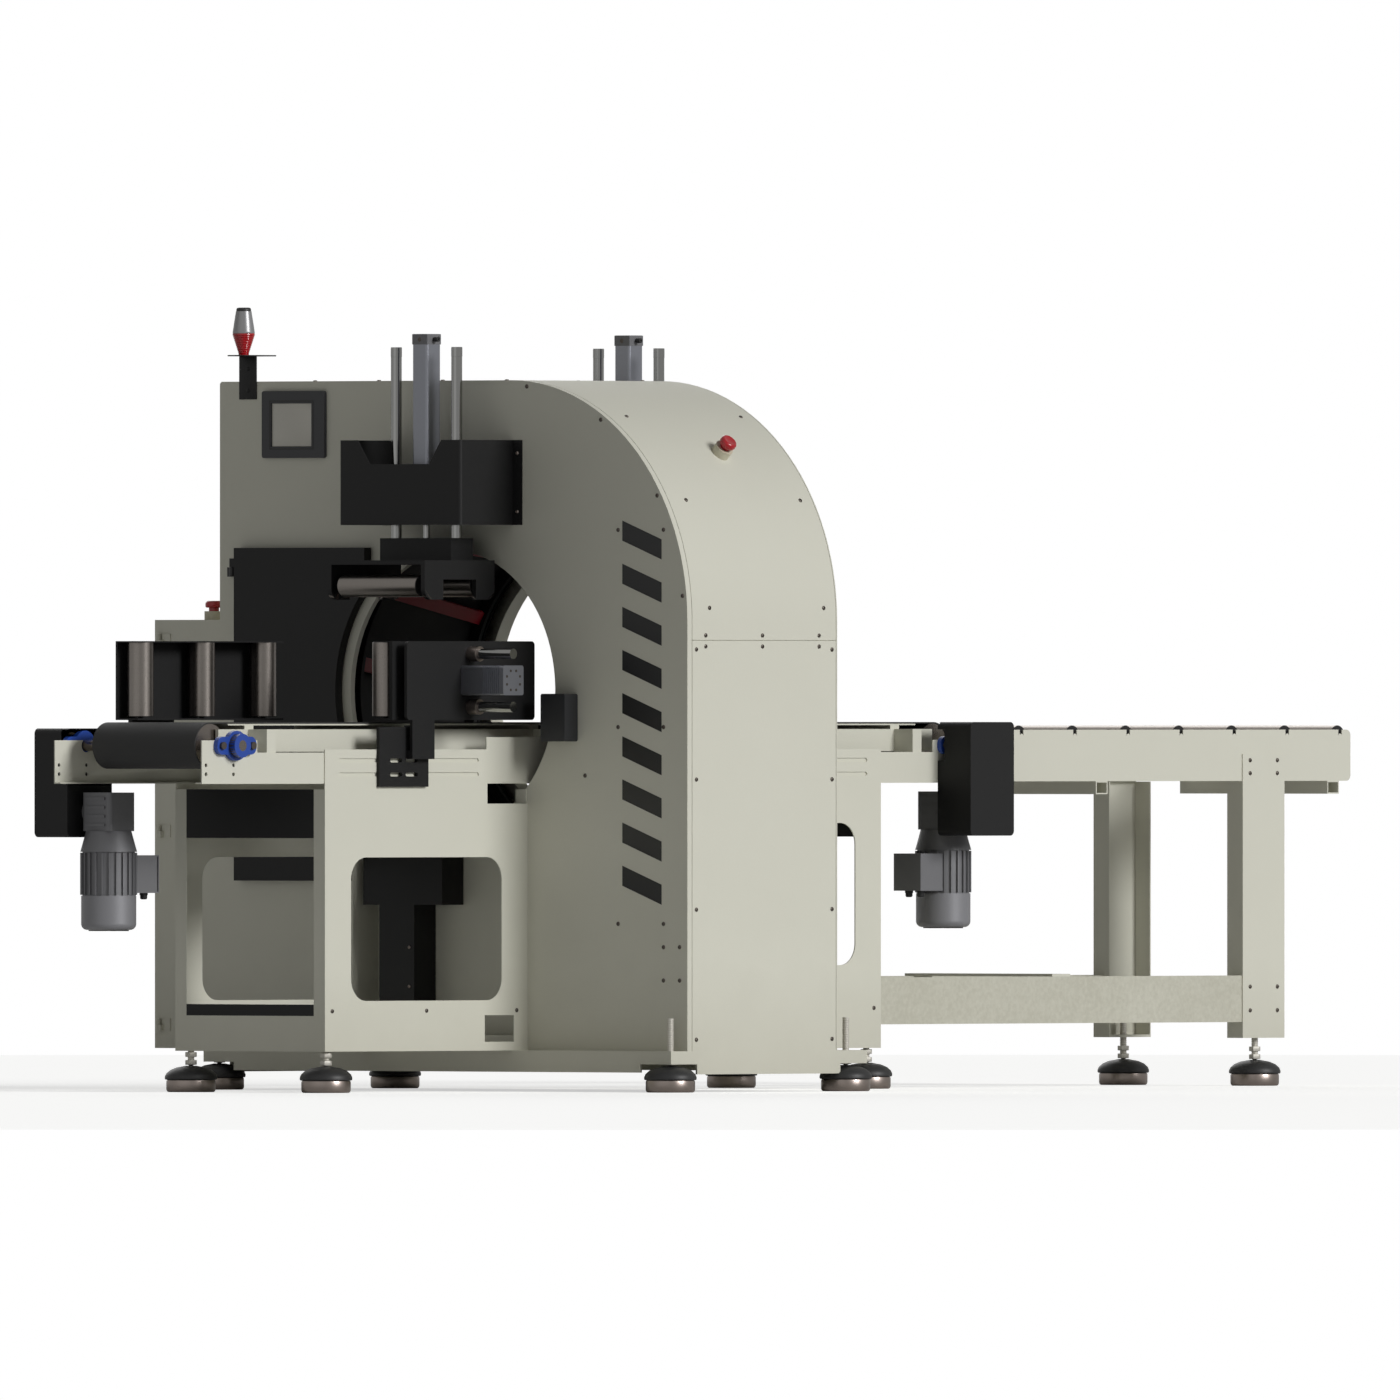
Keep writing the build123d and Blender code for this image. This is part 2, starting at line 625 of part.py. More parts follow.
def gearmotor(reach, box_side):
    """Worm gearmotor about its output height; the output points along +Y, the motor hangs below."""
    half = gearbox_half
    neck_end, barrel_end, cowl_end = -half - motor_neck, -barrel_drop, -cowl_drop
    body = block((-half, half), (-half, half), (-half, half))
    body = fillet(body.edges().filter_by(Axis.Z), 10)
    for z in (-30, -10, 10, 30):
        body += block((-half - 3, half + 3), (-30, 30), (z - 3, z + 3))
    body += Pos(0, 0, neck_end) * Cone(motor_r, motor_r - 13, motor_neck, align=upright)
    body += bar("z", (barrel_end, neck_end), (0, 0), motor_r - 5)
    for step in range(fin_count):
        fin = block((0, motor_r), (-fin_half, fin_half), (barrel_end + 2, neck_end - 2))
        body += Rot(0, 0, step * 360 / fin_count) * fin
    cowl = bar("z", (cowl_end, barrel_end), (0, 0), fan_r)
    body += fillet(cowl.edges().group_by(Axis.Z)[0], 14)
    box_low = barrel_end + 6
    box_x = (box_side * 30, box_side * (motor_r + terminal_out))
    body += block(box_x, (-terminal_half, terminal_half), (box_low, box_low + terminal_h))
    body += bar("y", (half, reach), (0, 0), output_boss_r)
    return body + bar("y", (reach, reach + output_stub), (0, 0), stop_stem_r)


def motor_places():
    infeed_x, outfeed_x = ring_mid - infeed_drive_u + 18, ring_mid + outfeed_drive_u + 17
    return [(infeed_x, motor_y, 1), (outfeed_x, -motor_y, -1)]


def gearmotors():
    reach = rail_half - motor_y
    pieces = []
    for x, y, side in motor_places():
        turn = 0 if side > 0 else 180
        pieces.append(Pos(x, y, output_z) * Rot(0, 0, turn) * gearmotor(reach, 1))
    place = Pos(frame_plate_x - ring_motor_reach, ring_motor_y, ring_motor_z) * Rot(0, 0, -90)
    pieces.append(place * gearmotor(ring_motor_reach, 1))
    save("gearmotors", *pieces)


def chain_guards():
    drives = zip(motor_places(), (-1, 1), (infeed_drive_u, outfeed_drive_u))
    wall, pieces = guard_wall, []
    for (x, _, side), conveyor_side, drive_u in drives:
        drive_x = ring_mid + conveyor_side * drive_u
        x_mid = drive_x + (14 if side > 0 else 11)
        top = guard_top[conveyor_side]
        ends = (x_mid - guard_len / 2, x_mid + guard_len / 2)
        inner_x = (ends[0] + wall, ends[1] - wall)
        near, far = rail_half, rail_half + guard_depth
        body = block(ends, both((near, far), side), (guard_bottom, top))
        body = fillet(body.edges().filter_by(Axis.Y), guard_corner_r)
        inside = block(inner_x, both((near + wall, far - wall), side), (guard_bottom + wall, top - wall))
        body -= fillet(inside.edges().filter_by(Axis.Y), guard_corner_r - wall)
        body -= block(inner_x, both((near - 1, near + wall + 1), side), (rail_bottom - 4, top - wall))
        clear_x, clear_z = bearing_len / 2 + 2, bearing_h / 2 + 2
        body -= block((drive_x - clear_x, drive_x + clear_x), both((near - 1, near + 21), side),
                      (drive_drum_z - clear_z, drive_drum_z + clear_z))
        body -= bar("y", both((near - 1, near + 9), side), (x, output_z), stop_stem_r + 2)
        pieces.append(body)
    save("chain_guards", *pieces)


def roller_table():
    half = rail_half
    low, high = table_rail_z
    pieces = None
    for side in (-1, 1):
        face = Pos((table_start + table_end) / 2, (low + high) / 2)
        face *= RectangleRounded(table_end - table_start, high - low, 14)
        rail = along_y(face, max(both((half - skin, half), side)), min(both((half - skin, half), side)))
        lip = both((half - rail_flange, half), side)
        rail += block((table_start + 20, table_end - 20), lip, (low, low + skin))
        leg = block(leg_x, both((half, half + skin), side), (leg_bottom, table_rail_z[1] - 56))
        for x in (leg_x[0], leg_x[1] - skin):
            leg += block((x, x + skin), both((half - leg_flange, half + skin), side), (leg_bottom, low - 2))
        leg += block(leg_x, both((half - leg_flange, half + skin), side), (leg_bottom, leg_bottom + 6))
        stud = (sum(leg_x) / 2, side * table_foot_y)
        leg -= bar("z", (leg_bottom - 9, leg_bottom + 9), stud, stud_hole_r)
        start = housing_len + outfeed_base_len
        stretcher = block((start, leg_x[0]), both((half - skin, half), side), stretcher_z)
        for z in (stretcher_z[0], stretcher_z[1] - skin):
            stretcher += block((start, leg_x[0]), both((half - 30, half), side), (z, z + skin))
        splice = block((table_start - 40, table_start + 40), both((half - 2 * skin, half - skin), side),
                       (rail_bottom + 10, rail_top - 7))
        part = rail + leg + stretcher + splice
        pieces = part if pieces is None else pieces + part
    for u in table_member_u:
        x, bottom = table_start + u, low - 30
        member = block((x - 20, x + 20), (-half, half), (bottom, low))
        pieces += member - block((x - 17, x + 17), (-half - 1, half + 1), (bottom + skin, low - skin))
    strip_x = (table_start + table_strip_u[0], table_start + table_strip_u[1])
    pieces += block(strip_x, (-half, half), (stretcher_z[1], stretcher_z[1] + 6))
    axles = []
    for x in roller_places():
        wide = (-half - 1, half + 1)
        notch = block((x - table_axle_r, x + table_axle_r), wide, (table_roller_z, high + 1))
        seat = bar("y", wide, (x, table_roller_z), table_axle_r)
        pieces -= notch + seat
        axles.append(bar("y", (-half, half), (x, table_roller_z), table_axle_r))
    save("roller_table_frame", pieces, *axles)
    for number, x in enumerate(roller_places(), 1):
        ends = (-table_roller_half, table_roller_half)
        roller = tube("y", ends, (x, table_roller_z), table_roller_r, table_axle_r + fit)
        save(f"table_roller_{number}", roller)
        report_axis(f"table_roller_{number}", x, 0, table_roller_z)


def roller_places():
    return [table_start + table_first + number * table_pitch for number in range(table_roller_count)]


def conveyors():
    base("infeed_base", -1, infeed_base_len, 0)
    base("outfeed_base", 1, outfeed_base_len, housing_len)
    base_panels()
    infeed = conveyor(-1, infeed_drive_u, infeed_end_u)
    outfeed = conveyor(1, outfeed_drive_u, outfeed_end_u)
    drums(-1, "infeed", infeed_drive_u, 1)
    drums(1, "outfeed", outfeed_drive_u, -1)
    save("conveyor_frames", infeed[0], outfeed[0])
    save("belts", infeed[1], outfeed[1], ring_drive_belt())
    save("flange_bearings", *infeed[2], *outfeed[2])
    gearmotors()
    chain_guards()
    roller_table()


# ---- Ring ----------------------------------------------------------------------------------------
def polar(r, angle):
    """(Y, Z) of a point at radius r from the ring axis; the angle is measured from +Y upwards."""
    return (r * cos(radians(angle)), ring_z + r * sin(radians(angle)))


def ring_drive_belt():
    wheel_y, wheel_z = polar(ring_outer_r + wheel_r + running, wheel_angles["ring_drive_wheel"])
    loop = belt_loop((wheel_y, wheel_z, pulley_r + running), (ring_motor_y, ring_motor_z, pulley_r - 10))
    return across(loop, frame_plate_x + frame_plate + 8, frame_plate_x + frame_plate + 26)


def rotor():
    x0, x1 = ring_front_x + ring_plate, ring_rear_x
    ring = ring_tube(ring_front_x, x0, ring_outer_r, ring_inner_r)
    ring += ring_tube(ring_rear_x, ring_rear_x + ring_plate, ring_outer_r, ring_inner_r)
    ring += ring_tube(x0, x1, drum_r + drum_wall, drum_r)
    slot_z = (ring_z + drum_r - 60, ring_z + drum_r + 10)
    ring -= block((film_x[0] - 10, film_x[1] + 10), film_slot_y, slot_z)
    plate_x = (film_x[1] + carriage_gap, film_x[1] + carriage_gap + carriage_plate)
    post_y = (-carriage_post, carriage_post)
    carriage = block(plate_x, carriage_y, (ring_z + drum_r + 12, ring_z + film_axis_r + 70))
    carriage += block((plate_x[1], x1), post_y, (ring_z + drum_r + 28, ring_z + ring_outer_r - 10))
    spindle_z = ring_z + film_axis_r
    carriage += bar("x", (film_x[0] - 4, plate_x[0]), (0, spindle_z), spindle_r)
    for y, out in stretch_rollers:
        place = (y, ring_z + ring_inner_r + out)
        carriage += bar("x", (film_x[0], plate_x[0]), place, stretch_roller_r)
    carriage += bar("x", (plate_x[0] - 22, plate_x[0]), dancer_place(), dancer_pivot_r)
    weight_top, weight_low = ring_z - drum_r - 24, ring_z - ring_outer_r + 10
    weight_end = plate_x[1] + 10
    weight_x = (weight_end - weight_len - carriage_plate, weight_end)
    weight = block(weight_x, (-weight_half, weight_half), (weight_low, weight_top))
    weight += block((weight_end, x1), post_y, (weight_low + 10, weight_top))
    save("rotor_ring", ring + carriage + weight)
    report_axis("ring axis", ring_mid, 0, ring_z)
    skew = degrees(atan(bar_r * radians(bar_twist) / (x1 - x0)))
    plain = Pos((x0 + x1) / 2, 0, bar_r + bar_thick / 2) * Rot(0, 0, skew)
    plain *= Box((x1 - x0) * 1.2, bar_width, bar_thick)
    plain &= block((x0, x1), (-bar_r, bar_r), (0, drum_r))
    turns = [bar_phase - 90 + number * 360 / bar_count for number in range(bar_count)]
    save("rotor_bars", *[Pos(0, 0, ring_z) * Rot(turn, 0, 0) * plain for turn in turns])
    save("film_roll", tube("x", film_x, (0, spindle_z), film_r, spindle_r + fit))
    report_axis("film roll", sum(film_x) / 2, 0, spindle_z)


def dancer_place():
    return (dancer_y, ring_z + ring_inner_r + dancer_up)


def dancer_arm():
    y, z = dancer_place()
    x = (film_x[1] + dancer_gap, film_x[1] + dancer_gap + 12)
    arm = block(x, (y, y + dancer_reach), (z - 12, z + 12))
    arm += bar("x", x, (y, z), dancer_hub_r) + bar("x", x, (y + dancer_reach, z), dancer_hub_r)
    arm += bar("x", (film_x[0], x[0]), (y + dancer_reach, z), dancer_roller_r)
    save("dancer_arm", arm - bar("x", (0, x[1] + 9), (y, z), dancer_pivot_r + fit))
    report_axis("dancer pivot", x[0], y, z)


def ring_frame():
    plate_x = (frame_plate_x, frame_plate_x + frame_plate)
    bore_r, wide = ring_inner_r + 5, housing_half - 41
    plate = ring_tube(*plate_x, frame_plate_r, bore_r)
    plate += block(plate_x, (-frame_plate_r + 10, frame_plate_r - 10), (plinth_top, ring_z))
    plate -= bar("x", (0, housing_len), (0, ring_z), bore_r)
    plate += block(plate_x, (-wide, wide), (plinth_top, ring_motor_z + 60))
    plate += block((plate_x[0], housing_len - skin), (-wide, wide), (plinth_top, plinth_top + frame_plate))
    plate -= bar("x", (0, housing_len), (ring_motor_y, ring_motor_z), stop_stem_r + 3)
    wheel_x = (frame_plate_x - 5 - wheel_width, frame_plate_x - 5)
    for name, angle in wheel_angles.items():
        place = polar(ring_outer_r + wheel_r + running, angle)
        wheel = bar("x", wheel_x, place, wheel_r)
        if name == "ring_drive_wheel":
            plate -= bar("x", (0, housing_len), place, wheel_pin_r + fit)
            end = plate_x[1] + 28
            wheel += bar("x", (wheel_x[0], end), place, wheel_pin_r)
            wheel += bar("x", (plate_x[1] + 6, end), place, pulley_r)
        else:
            plate += bar("x", (wheel_x[0] - 2, plate_x[0]), place, wheel_pin_r)
            plate += tube("x", (wheel_x[1] + 1, plate_x[0]), place, wheel_pin_r + 6, wheel_pin_r - 1)
            wheel -= bar("x", (0, housing_len), place, wheel_pin_r + fit)
        save(name, wheel)
        report_axis(name, wheel_x[0], *place)
    save("ring_frame", plate)


# ---- Presses -------------------------------------------------------------------------------------
def outer_corners(box, side):
    """The two upright edges of a box that lie furthest from the housing."""
    return box.edges().filter_by(Axis.Z).sort_by(Axis.X, reverse=side < 0)[-2:]


def presses():
    cylinders, covers = [], []
    for prefix, face, side in (("infeed", 0, -1), ("outfeed", housing_len, 1)):
        def span(a, b):
            return (face + side * a, face + side * b)

        x = face + side * press_x
        z0, z1 = press_box_z
        cover = block(span(0, press_box_depth), (-press_box_half, press_box_half), press_box_z)
        cover = fillet(outer_corners(cover, side), press_corner_r)
        wall = press_box_half - press_wall
        inside = block(span(-1, press_box_depth - press_wall), (-wall, wall), (z0 - 1, z1 + 1))
        cover -= fillet(outer_corners(inside, side), press_corner_r - press_wall)
        for y_side in (-1, 1):
            cover += block(span(0, press_wall), both((wall, press_box_flange), y_side), press_box_z)
        top_half, low_half, deep = press_notch
        corners = [(-low_half, z1 - deep), (low_half, z1 - deep), (top_half, z1 + 1), (-top_half, z1 + 1)]
        notch = Polygon(*corners, align=None)
        ends = sorted(span(press_box_depth - 9, press_box_depth + 9))
        covers.append(cover - across(notch, *ends))
        guide_half = guide_block[1] / 2
        guide = block(span(0, guide_block[0]), (-guide_half, guide_half), guide_block_z)
        for y in (-rod_y, rod_y):
            guide -= bar("z", (0, 2000), (x, y), rod_r + fit)
        square = (-cylinder_half, cylinder_half)
        guide -= block((x - cylinder_half, x + cylinder_half), square, (0, 2000))
        body = block((x - cylinder_half, x + cylinder_half), square, (guide_block_z[0], cylinder_top))
        body = fillet(body.edges().filter_by(Axis.Z), 6)
        body -= bar("z", (0, cylinder_top - 20), (x, 0), piston_rod_r + fit)
        cylinders += [guide, body]
        carriage = block((x - press_block[0] / 2, x + press_block[0] / 2),
                         (-press_block[1] / 2, press_block[1] / 2), press_block_z)
        for y in (-rod_y, rod_y):
            carriage += bar("z", (press_block_z[0] + 5, rod_top), (x, y), rod_r)
        carriage += bar("z", (press_block_z[0] + 5, press_block_z[1] + piston_reach), (x, 0), piston_rod_r)
        reach, plate_z, inner = press_reach, press_plate_z, press_plate_y[0]
        carriage += block(span(*reach), (-inner, inner), (plate_z[1] - 6, press_block_z[0]))
        axles = [face + side * (reach[1] - press_roller_inset), face + side * (reach[0] + press_roller_inset)]
        for y_side in (-1, 1):
            middle = Pos(face + side * sum(reach) / 2, sum(plate_z) / 2)
            middle *= RectangleRounded(reach[1] - reach[0], plate_z[1] - plate_z[0], press_plate_corner_r)
            opening = Pos(face + side * sum(reach) / 2, plate_z[0] + 14) * Rectangle(*press_opening)
            y = sorted(both(press_plate_y, y_side))
            carriage += along_y(middle - opening, y[1], y[0])
            carriage += block(span(*reach), both((inner, press_plate_y[1]), y_side),
                              (plate_z[1] - 20, press_block_z[0]))
        for axle in axles:
            carriage += bar("y", (-inner, inner), (axle, press_roller_z), press_axle_r)
        skid_x = span(reach[0] + skid_inset, reach[1] - skid_inset)
        skid = block(skid_x, (-inner, inner), (plate_z[0] + 6, plate_z[0] + 9))
        save(f"{prefix}_press_carriage", carriage + skid)
        report_axis(f"{prefix}_press", x, 0, rod_top)
        for label, axle in zip(("outer", "inner"), axles):
            ends = (-press_roller_half, press_roller_half)
            save(f"{prefix}_press_roller_{label}",
                 tube("y", ends, (axle, press_roller_z), press_roller_r, press_axle_r + fit))
            report_axis(f"{prefix}_press_roller_{label}", axle, 0, press_roller_z)
    save("press_cylinders", *cylinders)
    save("press_covers", *covers)


# ---- Side guides ---------------------------------------------------------------------------------
def guide_roller(name, x, y):
    save(name, tube("z", guide_roller_z, (x, y), guide_roller_r, guide_pin_r + fit))
    report_axis(name, x, y, guide_roller_z[0])


def side_guides():
    y, z0, z1 = guide_roller_y, *guide_z
    edges = ((z0, z0 + guide_shelf), (z1 - skin, z1))
    near_pins = [near_first_x + number * guide_pitch for number in range(guide_count)]
    far_pins = [far_first_x + number * (guide_pitch + 0.5) for number in range(guide_count)]
    far_x, near_x = (far_pins[0] - 39, far_pins[-1] + 37), (near_pins[0] - 26, near_pins[-1] + 26)
    wall_in, wall_out = far_wall_y
    far = block(far_x, (y + wall_in, y + wall_out), guide_z)
    head = block(near_x, (-y - near_wall_y[1], -y - near_wall_y[0]), guide_z)
    for z in edges:
        far += block(far_x, (y - guide_roller_r + 1, y + wall_out), z)
        head += block(near_x, (-y - near_wall_y[1], -y + 12), z)
    arm_x = (far_x[0] + 60, far_x[0] + 200)
    far += block(arm_x, (y + wall_in, rail_half + 12), (z0, z0 + guide_shelf))
    far += block(arm_x, (rail_half, rail_half + 12), (rail_bottom + 8, z0 + guide_shelf))
    for x in far_pins:
        far += bar("z", guide_z, (x, y), guide_pin_r)
    for x in near_pins:
        head += bar("z", guide_z, (x, -y), guide_pin_r)
    mount, head = near_guide_mount(near_pins[1], near_x, head)
    save("guide_mounts", far, mount)
    save("near_guide_head", head)
    for number, (near, far_pin) in enumerate(zip(near_pins, far_pins), 1):
        guide_roller(f"near_guide_roller_{number}", near, -y)
        guide_roller(f"far_guide_roller_{number}", far_pin, y)


def near_guide_mount(mid_x, near_x, head):
    """Fixed plate, rod sleeves, cylinder and bracket of the near guide; the head gains its rods."""
    y, z0, z1 = guide_roller_y, *guide_z
    back = near_plate_y[0]
    mid_z = sum(near_rod_z) / 2
    rod_end = back - near_sleeve - near_travel - 4
    plate = Pos(mid_x - 0.5, (z0 + z1) / 2) * RectangleRounded(near_x[1] - near_x[0] - 32, z1 - z0, 10)
    mount = along_y(plate, near_plate_y[1], back)
    for z in near_rod_z:
        mount += bar("y", (back - near_sleeve, back), (mid_x, z), near_rod_r + 5.5)
        mount -= bar("y", (back - near_sleeve - 12, 0), (mid_x, z), near_rod_r + fit)
        head += bar("y", (rod_end, -y - 40), (mid_x, z), near_rod_r)
    mount += near_guide_cylinder(mid_x, mid_z, rod_end, back)
    mount -= bar("y", (rod_end + 20, 0), (mid_x, mid_z), piston_rod_r + fit)
    head += bar("y", (rod_end + 22, -y - 40), (mid_x, mid_z), piston_rod_r)
    bracket_x = (mid_x - 286, mid_x - 122)
    arm_x = (bracket_x[0] + 90, bracket_x[1])
    rail_side = -rail_half - skin
    mount += block(bracket_x, (rail_side - skin - 6, rail_side), (rail_bottom - 7, belt_top - 11))
    mount += block(arm_x, (back, rail_side), (base_top - 22, base_top - 2))
    mount += block(arm_x, (back, near_plate_y[1]), (base_top - 22, z0 + 30))
    for drop in slot_drops:
        for x in (bracket_x[0] + 56, bracket_x[0] + 108):
            slot = Pos(x, belt_top - drop) * SlotOverall(40, slot_width)
            mount -= along_y(slot, -rail_half, -rail_half - 14)
    return mount, head


def near_guide_cylinder(mid_x, mid_z, end, back):
    """A square cylinder body with grooves round it."""
    half, rim, depth = near_cylinder, near_cylinder + 1, near_cylinder - 2
    body = block((mid_x - half, mid_x + half), (end, back), (mid_z - half, mid_z + half))
    body = fillet(body.edges().filter_by(Axis.Y), 6)
    for number in range(groove_count):
        groove_first = back - 119 + number * groove_pitch
        groove_y = (groove_first, groove_first + groove_pitch / 2)
        groove = block((mid_x - rim, mid_x + rim), groove_y, (mid_z - rim, mid_z + rim))
        groove -= block((mid_x - depth, mid_x + depth), groove_y, (mid_z - depth, mid_z + depth))
        body -= groove
    return body


# ---- Doors, cabinet and operating pieces ---------------------------------------------------------
def access_door():
    front, wall = -access_standoff - door_thick, access_wall
    panel = across(access_outline(0), front, -access_standoff)
    panel -= across(access_outline(wall), front + wall, 0)
    x, y = access_hinge_x, access_hinge_y
    fixed = []
    for z in (access_z[1] - 66, access_z[0] + 60):
        leaf_z = (z + 22, z + 42)
        panel += block((x - hinge_r, x + hinge_r), (access_y[1] - wall, y), leaf_z)
        panel += bar("z", leaf_z, (x, y), hinge_r)
        panel -= bar("z", (leaf_z[0] - 1, leaf_z[1] + 1), (x, y), access_pin_r + fit)
        knuckle_z = (z, z + 21.5)
        knuckle = block((x, 0), (y - hinge_r, y + 15), knuckle_z) + bar("z", knuckle_z, (x, y), hinge_r)
        fixed.append(knuckle + bar("z", (z, leaf_z[1]), (x, y), access_pin_r))
    handle_y = (access_y[0] + 130, access_y[0] + 150)
    panel += block((front - 12, front), handle_y, (access_z[0] + 116, access_z[0] + 196))
    save("access_door", panel)
    report_axis("access door", x, y, access_z[0])
    return fixed


def cabinet():
    x, y, wall = cabinet_x, (cabinet_back, door_y), cabinet_wall
    body = block(x, y, (plinth_top, cabinet_top))
    inner_x, inner_z = (x[0] + wall, x[1] - wall), (plinth_top + wall, cabinet_top - wall)
    body -= block(inner_x, (y[0] + wall, y[1] + 1), inner_z)
    hinge_x, hinge_y = x[0] - 8, door_y + 4
    front = door_y + door_thick
    door = block(x, (door_y, front), (plinth_top, cabinet_top))
    door -= block((x[0] + door_wall, x[1] - door_wall), (door_y - 1, front - door_wall),
                  (plinth_top + door_wall, cabinet_top - door_wall))
    for z in (cabinet_top - 60, cabinet_top - 500, plinth_top + 40):
        low, high = (z, z + 14), (z + 14.5, z + 28)
        body += block((x[0] - 3, x[0]), (door_y - 28, door_y - 2), (z, high[1]))
        body += block((hinge_x - 2, x[0]), (door_y - 8, door_y - 2), low)
        body += block((hinge_x - 5, hinge_x + 1), (door_y - 8, hinge_y), low)
        body += bar("z", low, (hinge_x, hinge_y), hinge_r)
        body += bar("z", (z, high[1]), (hinge_x, hinge_y), cabinet_pin_r)
        knuckle = bar("z", high, (hinge_x, hinge_y), hinge_r)
        knuckle += block((hinge_x, x[0] + door_wall), (hinge_y, hinge_y + hinge_r), high)
        door += knuckle - bar("z", (0, cabinet_top), (hinge_x, hinge_y), cabinet_pin_r + fit)
    for z in (plinth_top + 200, cabinet_top - 200):
        door += bar("y", (front - 1, front + latch_head), (x[1] - 30, z), latch_r)
    body -= bar("z", (cabinet_top - 9, cabinet_top + 9), cabinet_stop_place(), stop_stem_r + 2)
    save("control_cabinet", body)
    save("cabinet_door", door)
    report_axis("cabinet door", hinge_x, hinge_y, plinth_top)


def cabinet_stop_place():
    return (cabinet_stop[0], cabinet_back + cabinet_stop[1])


def emergency_stop(name, place, curved):
    """A stop button along the local Z axis; the collar follows the surface that it stands on."""
    collar = tube("z", (-12 if curved else 0, stop_collar_h), (0, 0), stop_collar_r, stop_stem_r + fit)
    if curved:
        collar -= bar("x", (-90, 90), (0, -corner_r), corner_r)
    raised = stop_collar_h + stop_travel
    stem = bar("z", (-3, raised + 2), (0, 0), stop_stem_r)
    head = bar("z", (raised + 1, raised + 20), (0, 0), stop_head_r)
    head = fillet(head.edges().group_by(Axis.Z)[-1], 6)
    save(name, place * (stem + head))
    return place * collar


def control_pieces():
    corner = Pos(stop_x, corner_y, corner_z) * Rot(stop_angle, 0, 0) * Pos(0, 0, corner_r)
    collars = [emergency_stop("cover_stop_button", corner, True)]
    collars.append(emergency_stop("cabinet_stop_button", Pos(*cabinet_stop_place(), cabinet_top), False))
    depth, width, height = sensor
    housing_y, housing_z = -aperture_r - 70, belt_top - 44
    body = block((-depth, 0), (housing_y, housing_y + width), (housing_z, housing_z + height))
    save("switch_fittings", *collars, fillet(body.edges().filter_by(Axis.X), 5))
    depth, width, height = panel_size
    y0, z0 = housing_half - 336, housing_top - 176
    y1, z1 = y0 + width, z0 + height
    left, right, below, above = screen_inset
    bezel = block((-depth, 0), (y0, y1), (z0, z1))
    bezel = fillet(bezel.edges().filter_by(Axis.X), 6)
    bezel -= block((-depth - 1, 4 - depth), (y0 + left, y1 - right), (z0 + below, z1 - above))
    save("touch_panel", bezel)
    beacon(-16, housing_half - 90, housing_top + 61)


def beacon(x, y, z):
    """A signal beacon on its bent bracket; z is the bracket's top."""
    wide = (y - beacon_width / 2, y + beacon_width / 2)
    bracket = block((-skin, 0), wide, (z - 102, z - skin))
    bracket += block((x - 26, x + 81), wide, (z - skin, z))
    lamp = Pos(x, y, z) * Cone(10, 25.5, 50, align=upright)
    lamp += Pos(x, y, z + 50) * Cone(25.5, 18, 51, align=upright)
    lamp += bar("z", (z + 101, z + 109), (x, y), 17)
    save("signal_beacon", bracket, lamp)


def screw(place, axis, out):
    """A round screw head standing on a face, pointing out along one axis."""
    ends = {"x": place[0], "y": place[1], "z": place[2]}[axis]
    at = {"x": place[1:], "y": (place[0], place[2]), "z": place[:2]}[axis]
    return bar(axis, sorted((ends, ends + out * screw_head)), at, screw_r)


def side_cover_screws():
    """Screws of the near covers: columns at both ends and a row on each side of the seam."""
    columns = (flange_strip + 15, housing_len - skin - 15)
    spread = ring_mid - 61.5
    first, last = plinth_top + 26, cover_seam_z - 20
    heads = []
    for number in range(4):
        z = first + number * (last - first) / 3
        heads += [screw((x, -housing_half, z), "y", -1) for x in columns]
    for z in (cover_seam_z - 13, cover_seam_z + 12):
        for x in (ring_mid - spread, ring_mid, ring_mid + spread):
            heads.append(screw((x, -housing_half, z), "y", -1))
    for number in range(4):
        y = corner_y + 40 + number * 200
        heads += [screw((x, y, housing_top), "z", 1) for x in columns]
    return heads


def corner_screws():
    """Screws on the rounded cover, sunk to sit on its curve."""
    heads = []
    for angle in (3, 30, 58):
        for x in (flange_strip + 60, housing_len - 45):
            head = Pos(0, 0, corner_r - 0.2) * Cylinder(screw_r, screw_head * 2)
            head = head - bar("x", (-90, 90), (0, 0), corner_r)
            heads.append(Pos(x, corner_y, corner_z) * Rot(90 - angle, 0, 0) * head)
    return heads


def front_screws():
    """Screws on the front skin: along the corner's arc, down both edges and at the plinth."""
    heads, arc_r = [], corner_r - 12
    for angle in (6, 32, 58.5, 84.6):
        y, z = corner_y - arc_r * cos(radians(angle)), corner_z + arc_r * sin(radians(angle))
        heads.append(screw((0, y, z), "x", -1))
    for z in (ring_z + 367, ring_z - 83, ring_z - 532):
        heads += [screw((0, -housing_half + inward, z), "x", -1) for inward in (74, 215)]
    for inward, up in ((318, 628), (74, 237), (24, 237), (74, 161), (24, 161)):
        heads.append(screw((0, -housing_half + inward, plinth_top + up), "x", -1))
    return heads


def base_screws():
    heads, face_y = [], rail_half + skin
    for face, side, length in ((0, -1, infeed_base_len), (housing_len, 1, outfeed_base_len)):
        for y_side in (-1, 1):
            for u in (37, length / 2, length - 24):
                heads.append(screw((face + side * u, y_side * face_y, crossbar_z + 11), "y", y_side))
    low = table_rail_z[0]
    for y_side in (-1, 1):
        for x in (leg_x[0] + 25, leg_x[1] - 25):
            for z in (low + 18, low + 48, stretcher_z[0] + 27, stretcher_z[1] - 26):
                heads.append(screw((x, y_side * face_y, z), "y", y_side))
    return heads


housing()
plinth()
levelling_feet()
conveyors()
rotor()
dancer_arm()
ring_frame()
presses()
side_guides()
cabinet()
control_pieces()
cover_heads = side_cover_screws() + corner_screws() + front_screws() + base_screws()
save("cover_screws", *cover_heads, *access_door())
report_axis("foot underside", *foot_places()[4][:2], 0)
